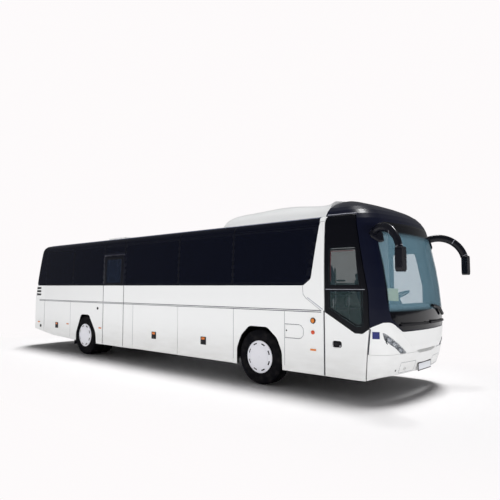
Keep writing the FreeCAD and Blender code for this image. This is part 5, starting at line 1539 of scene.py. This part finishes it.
@dataclass
class Wipers:
    """Arms and blades laid over the CAD wipers, and the dark pad that the photograph shows at the screen's foot."""

    foot_z: float = 1.20
    steps: int = 14
    spans: tuple[tuple[float, float], ...] = ((-0.10, -0.86), (0.82, 0.08))
    pad_pixels: tuple[tuple[float, float], ...] = ((430.5, 305.6), (434.0, 306.2), (437.6, 308.2), (440.2, 313.4))

    def build(self) -> None:
        """Makes both wipers and the pad."""
        on = Skin("windscreen", "front_mask")
        arms, blades = Draft(), Draft()
        hub = [(-0.02, 0.0), (-0.02, 0.024), (0.012, 0.022), (0.016, 0.012), (0.016, 0.0)]
        for pivot, tip in self.spans:
            arm_line, blade_line = [], []
            for share in (k / self.steps for k in range(self.steps + 1)):
                start = Vector((RAY_START, pivot + (tip - pivot) * share, self.foot_z + 0.03 * share))
                point, normal = on.hit(start, Vector((-1, 0, 0)))
                arm_line.append(point + normal * (0.020 - 0.006 * share))
                blade_line.append(point + normal * 0.007 + Vector((0, 0, -0.022)))
            arms.tube(arm_line, 0.009, 8)
            arms.lathe(hub, arm_line[0], Vector((1, 0, 0.2)), 20)
            blades.tube(blade_line[2:], 0.007, 6)
        pad = [on.hit(*VIEW.ray(u, v)) for u, v in self.pad_pixels]
        arms.tube([point + normal * 0.034 for point, normal in pad], 0.028, 10)
        arms.piece("wiper_arms", BLACK, "coach")
        blades.piece("wiper_blades", SEAL, "coach")


# Tail


@dataclass
class TailTrim:
    """Lamp glasses, blank plate, grip and louvres of the tail."""

    louvres: int = 9
    louvre_z: float = 1.00
    louvre_pitch: float = 0.05
    lamp_y: float = 1.045
    lamp_kinds: tuple[tuple[float, Finish, str], ...] = (
        (1.55, AMBER, "turn"), (1.40, RED, "stop"), (1.25, RED, "tail"), (1.12, BULB, "reverse"))
    plate_x: float = -9.2

    def build(self) -> None:
        """Makes the tail's trim."""
        hatch = Skin("engine_hatch")
        heights = [self.louvre_z + self.louvre_pitch * k for k in range(self.louvres)]
        slats = [hatch.lay([(-0.72, z), (0.72, z)], Way.REAR, 0.08) for z in heights]
        strips("engine_louvres", WHITE, "engine_hatch", slats, 0.024, 0.008)
        grip = hatch.lay([(-0.10, 0.93), (0.10, 0.93)], Way.REAR, 0.04)
        strips("engine_hatch_grip", BLACK, "engine_hatch", [grip], 0.032, 0.007)
        wall = Skin("rear_wall", "tail_lamps", "rear_bumper")
        profile = [(-0.004, 0.0), (-0.004, 0.056), (0.006, 0.056), (0.013, 0.046), (0.016, 0.02), (0.016, 0.0)]
        for side in Side:
            middle = side.value * self.lamp_y
            for z, finish, name in self.lamp_kinds:
                centre, normal = wall.lay([(middle, z), (middle + 0.001, z)], Way.REAR)[0]
                lamp = Draft().lathe(profile, centre, normal, 32)
                lamp.piece(f"{name}_lamp_{side.name.lower()}", finish, "coach")
        x = at(self.plate_x)
        face = Draft().block((x, -0.252, 0.588), (x + 0.008, 0.252, 0.692), 0.002)
        face.piece("rear_plate_face", BLANK_PLATE, "coach")


# Inside


@dataclass(frozen=True)
class SeatForm:
    """Widths and depth of one kind of seat."""

    cushion: float
    back: float
    back_deep: float
    bolster_y: float
    bolster: float
    head: float


PASSENGER = SeatForm(0.42, 0.37, 0.105, 0.175, 0.06, 0.32)
DRIVER = SeatForm(0.48, 0.42, 0.11, 0.205, 0.07, 0.28)
SEAT_LEAN = -3.0
BACK_LEAN = -14.0


@dataclass
class Seats:
    """Padded seats in pairs, and the driver's seat."""

    rows: int = 11
    pitch: float = 0.79
    first_x: float = 0.20
    floor_z: float = 1.33
    door_rows: tuple[int, ...] = (6, 7)
    seat_width: float = 0.44
    pair_y: tuple[float, float] = (0.30, -1.18)
    driver_at: Point = (1.25, 0.63, 1.0)
    fill: float = 0.7

    def build(self) -> None:
        """Makes the passengers' rows and the driver's seat."""
        pads, heads, frames = Draft(), Draft(), Draft()
        for i in range(self.rows):
            x = at(self.first_x - self.pitch * i)
            for low in self.pair_y[:1] if i in self.door_rows else self.pair_y:
                for k in range(2):
                    self.seat(pads, heads, (x, low + self.seat_width * (k + 0.5), self.floor_z), PASSENGER)
                self.stand(frames, x, low, low + 2 * self.seat_width, self.floor_z)
        rows = pads.piece("passenger_cushions", CLOTH, "coach")
        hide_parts("passenger_seats")
        tops = heads.piece("passenger_headrests", HEADREST, "coach")
        frames.piece("passenger_seat_stands", CHASSIS, "coach")
        self.driver()

    @staticmethod
    def seat(pads: Draft, heads: Draft, place: Point, form: SeatForm) -> None:
        """One seat: a crowned cushion, a back in two channels, side bolsters and a head pad.

        Args:
            pads: Where cushion and back go.
            heads: Where the head pad goes.
            place: Station, middle across and floor.
            form: Its widths.
        """
        x, y, z = place
        pads.cushion((x + 0.225, y, z + 0.395), (0.47, form.cushion, 0.13), SEAT_LEAN, 0.42)
        pads.cushion((x - 0.012, y, z + 0.56), (form.back_deep, form.back, 0.28), BACK_LEAN, 0.45)
        pads.cushion((x - 0.078, y, z + 0.80), (form.back_deep, form.back, 0.30), BACK_LEAN, 0.45)
        heads.cushion((x - 0.135, y, z + 0.995), (0.095, form.head, 0.155), BACK_LEAN, 0.5)
        for sign in (-1, 1):
            middle = (x - 0.04, y + sign * form.bolster_y, z + 0.68)
            pads.cushion(middle, (0.12, form.bolster, 0.54), BACK_LEAN, 0.5, 12, 10)

    def stand(self, frames: Draft, x: float, low: float, high: float, z: float) -> None:
        """The steel stand and shell backs of a pair."""
        for y in (low + 0.12, high - 0.12):
            frames.block((x + 0.10, y - 0.02, z + 0.001), (x + 0.32, y + 0.02, z + 0.335), 0.006, 2)
        frames.block((x - 0.03, low + 0.03, z + 0.31), (x + 0.44, high - 0.03, z + 0.338), 0.008, 2)
        for y in (low + 0.02, high - 0.02):
            frames.block((x - 0.02, y - 0.018, z + 0.58), (x + 0.27, y + 0.018, z + 0.615), 0.012, 2)

    def driver(self) -> None:
        """The driver's higher seat on its pedestal."""
        x, y, z = at(self.driver_at[0]), *self.driver_at[1:]
        pads = Draft()
        self.seat(pads, pads, (x, y, z), DRIVER)
        seat = pads.piece("driver_cushions", CLOTH, "coach")
        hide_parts("driver_seat")
        pedestal = Draft().block((x + 0.08, y - 0.14, z + 0.001), (x + 0.34, y + 0.14, z + 0.33), 0.02)
        pedestal.piece("driver_pedestal", CHASSIS, "coach")


@dataclass
class Cockpit:
    """Gauges, and rails by the steps."""

    gauges: tuple[tuple[float, float], ...] = ((0.50, 0.055), (0.63, 0.06), (0.76, 0.055))
    eye: tuple[float, float] = (1.6, 1.9)
    rail_y: float = -0.30

    def build(self) -> None:
        """Makes the cockpit's detail."""
        dash = Skin("dashboard")
        rims, faces = Draft(), Draft()
        for y, radius in self.gauges:
            start = Vector((at(self.eye[0]), y, self.eye[1]))
            point, normal = dash.hit(start, Vector((0.75, 0.0, -0.66)).normalized())
            rim = [(-0.002, radius), (0.010, radius * 1.02), (0.012, radius * 1.12), (-0.002, radius * 1.16)]
            face = [(0.0, 0.0), (0.004, radius * 0.2), (0.004, radius * 1.01), (0.0, radius * 1.01)]
            rims.lathe(rim, point, normal, 32)
            faces.lathe(face, point, normal, 32)
        rims.piece("gauge_rims", CHROME, "coach")
        faces.piece("gauge_faces", GAUGE, "coach")
        rails = Draft()
        for line in (
            [(1.10, z) for z in (1.335, 1.6, 1.9, 2.15)],
            [(x, 1.62) for x in (1.10, 1.2, 1.3, 1.38)],
            [(1.38, z) for z in (1.001, 1.3, 1.62)],
        ):
            rails.tube([Vector((at(x), self.rail_y, z)) for x, z in line], 0.017, 12)
        rails.piece("step_rails", CHROME, "coach")


def main() -> None:
    """Builds the coach's looks in order."""
    logging.basicConfig(level=logging.INFO, format="%(name)s: %(message)s")
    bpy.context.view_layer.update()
    assemblies: list[tuple[str, Callable[[], None]]] = [
        ("studio", Studio().build),
        ("shell", dress_nodes),
        ("right side", SideTrim(Side.RIGHT).build),
        ("left side", SideTrim(Side.LEFT).build),
        ("doors", DoorTrim().build),
        ("nose", NoseTrim().build),
        ("wheels", Wheels().build),
        ("mirrors", MirrorTrim().build),
        ("wipers", Wipers().build),
        ("tail", TailTrim().build),
        ("seats", Seats().build),
        ("cockpit", Cockpit().build),
    ]
    for name, build in assemblies:
        LOG.info("building the %s", name)
        build()


if __name__ == "__main__":
    main()
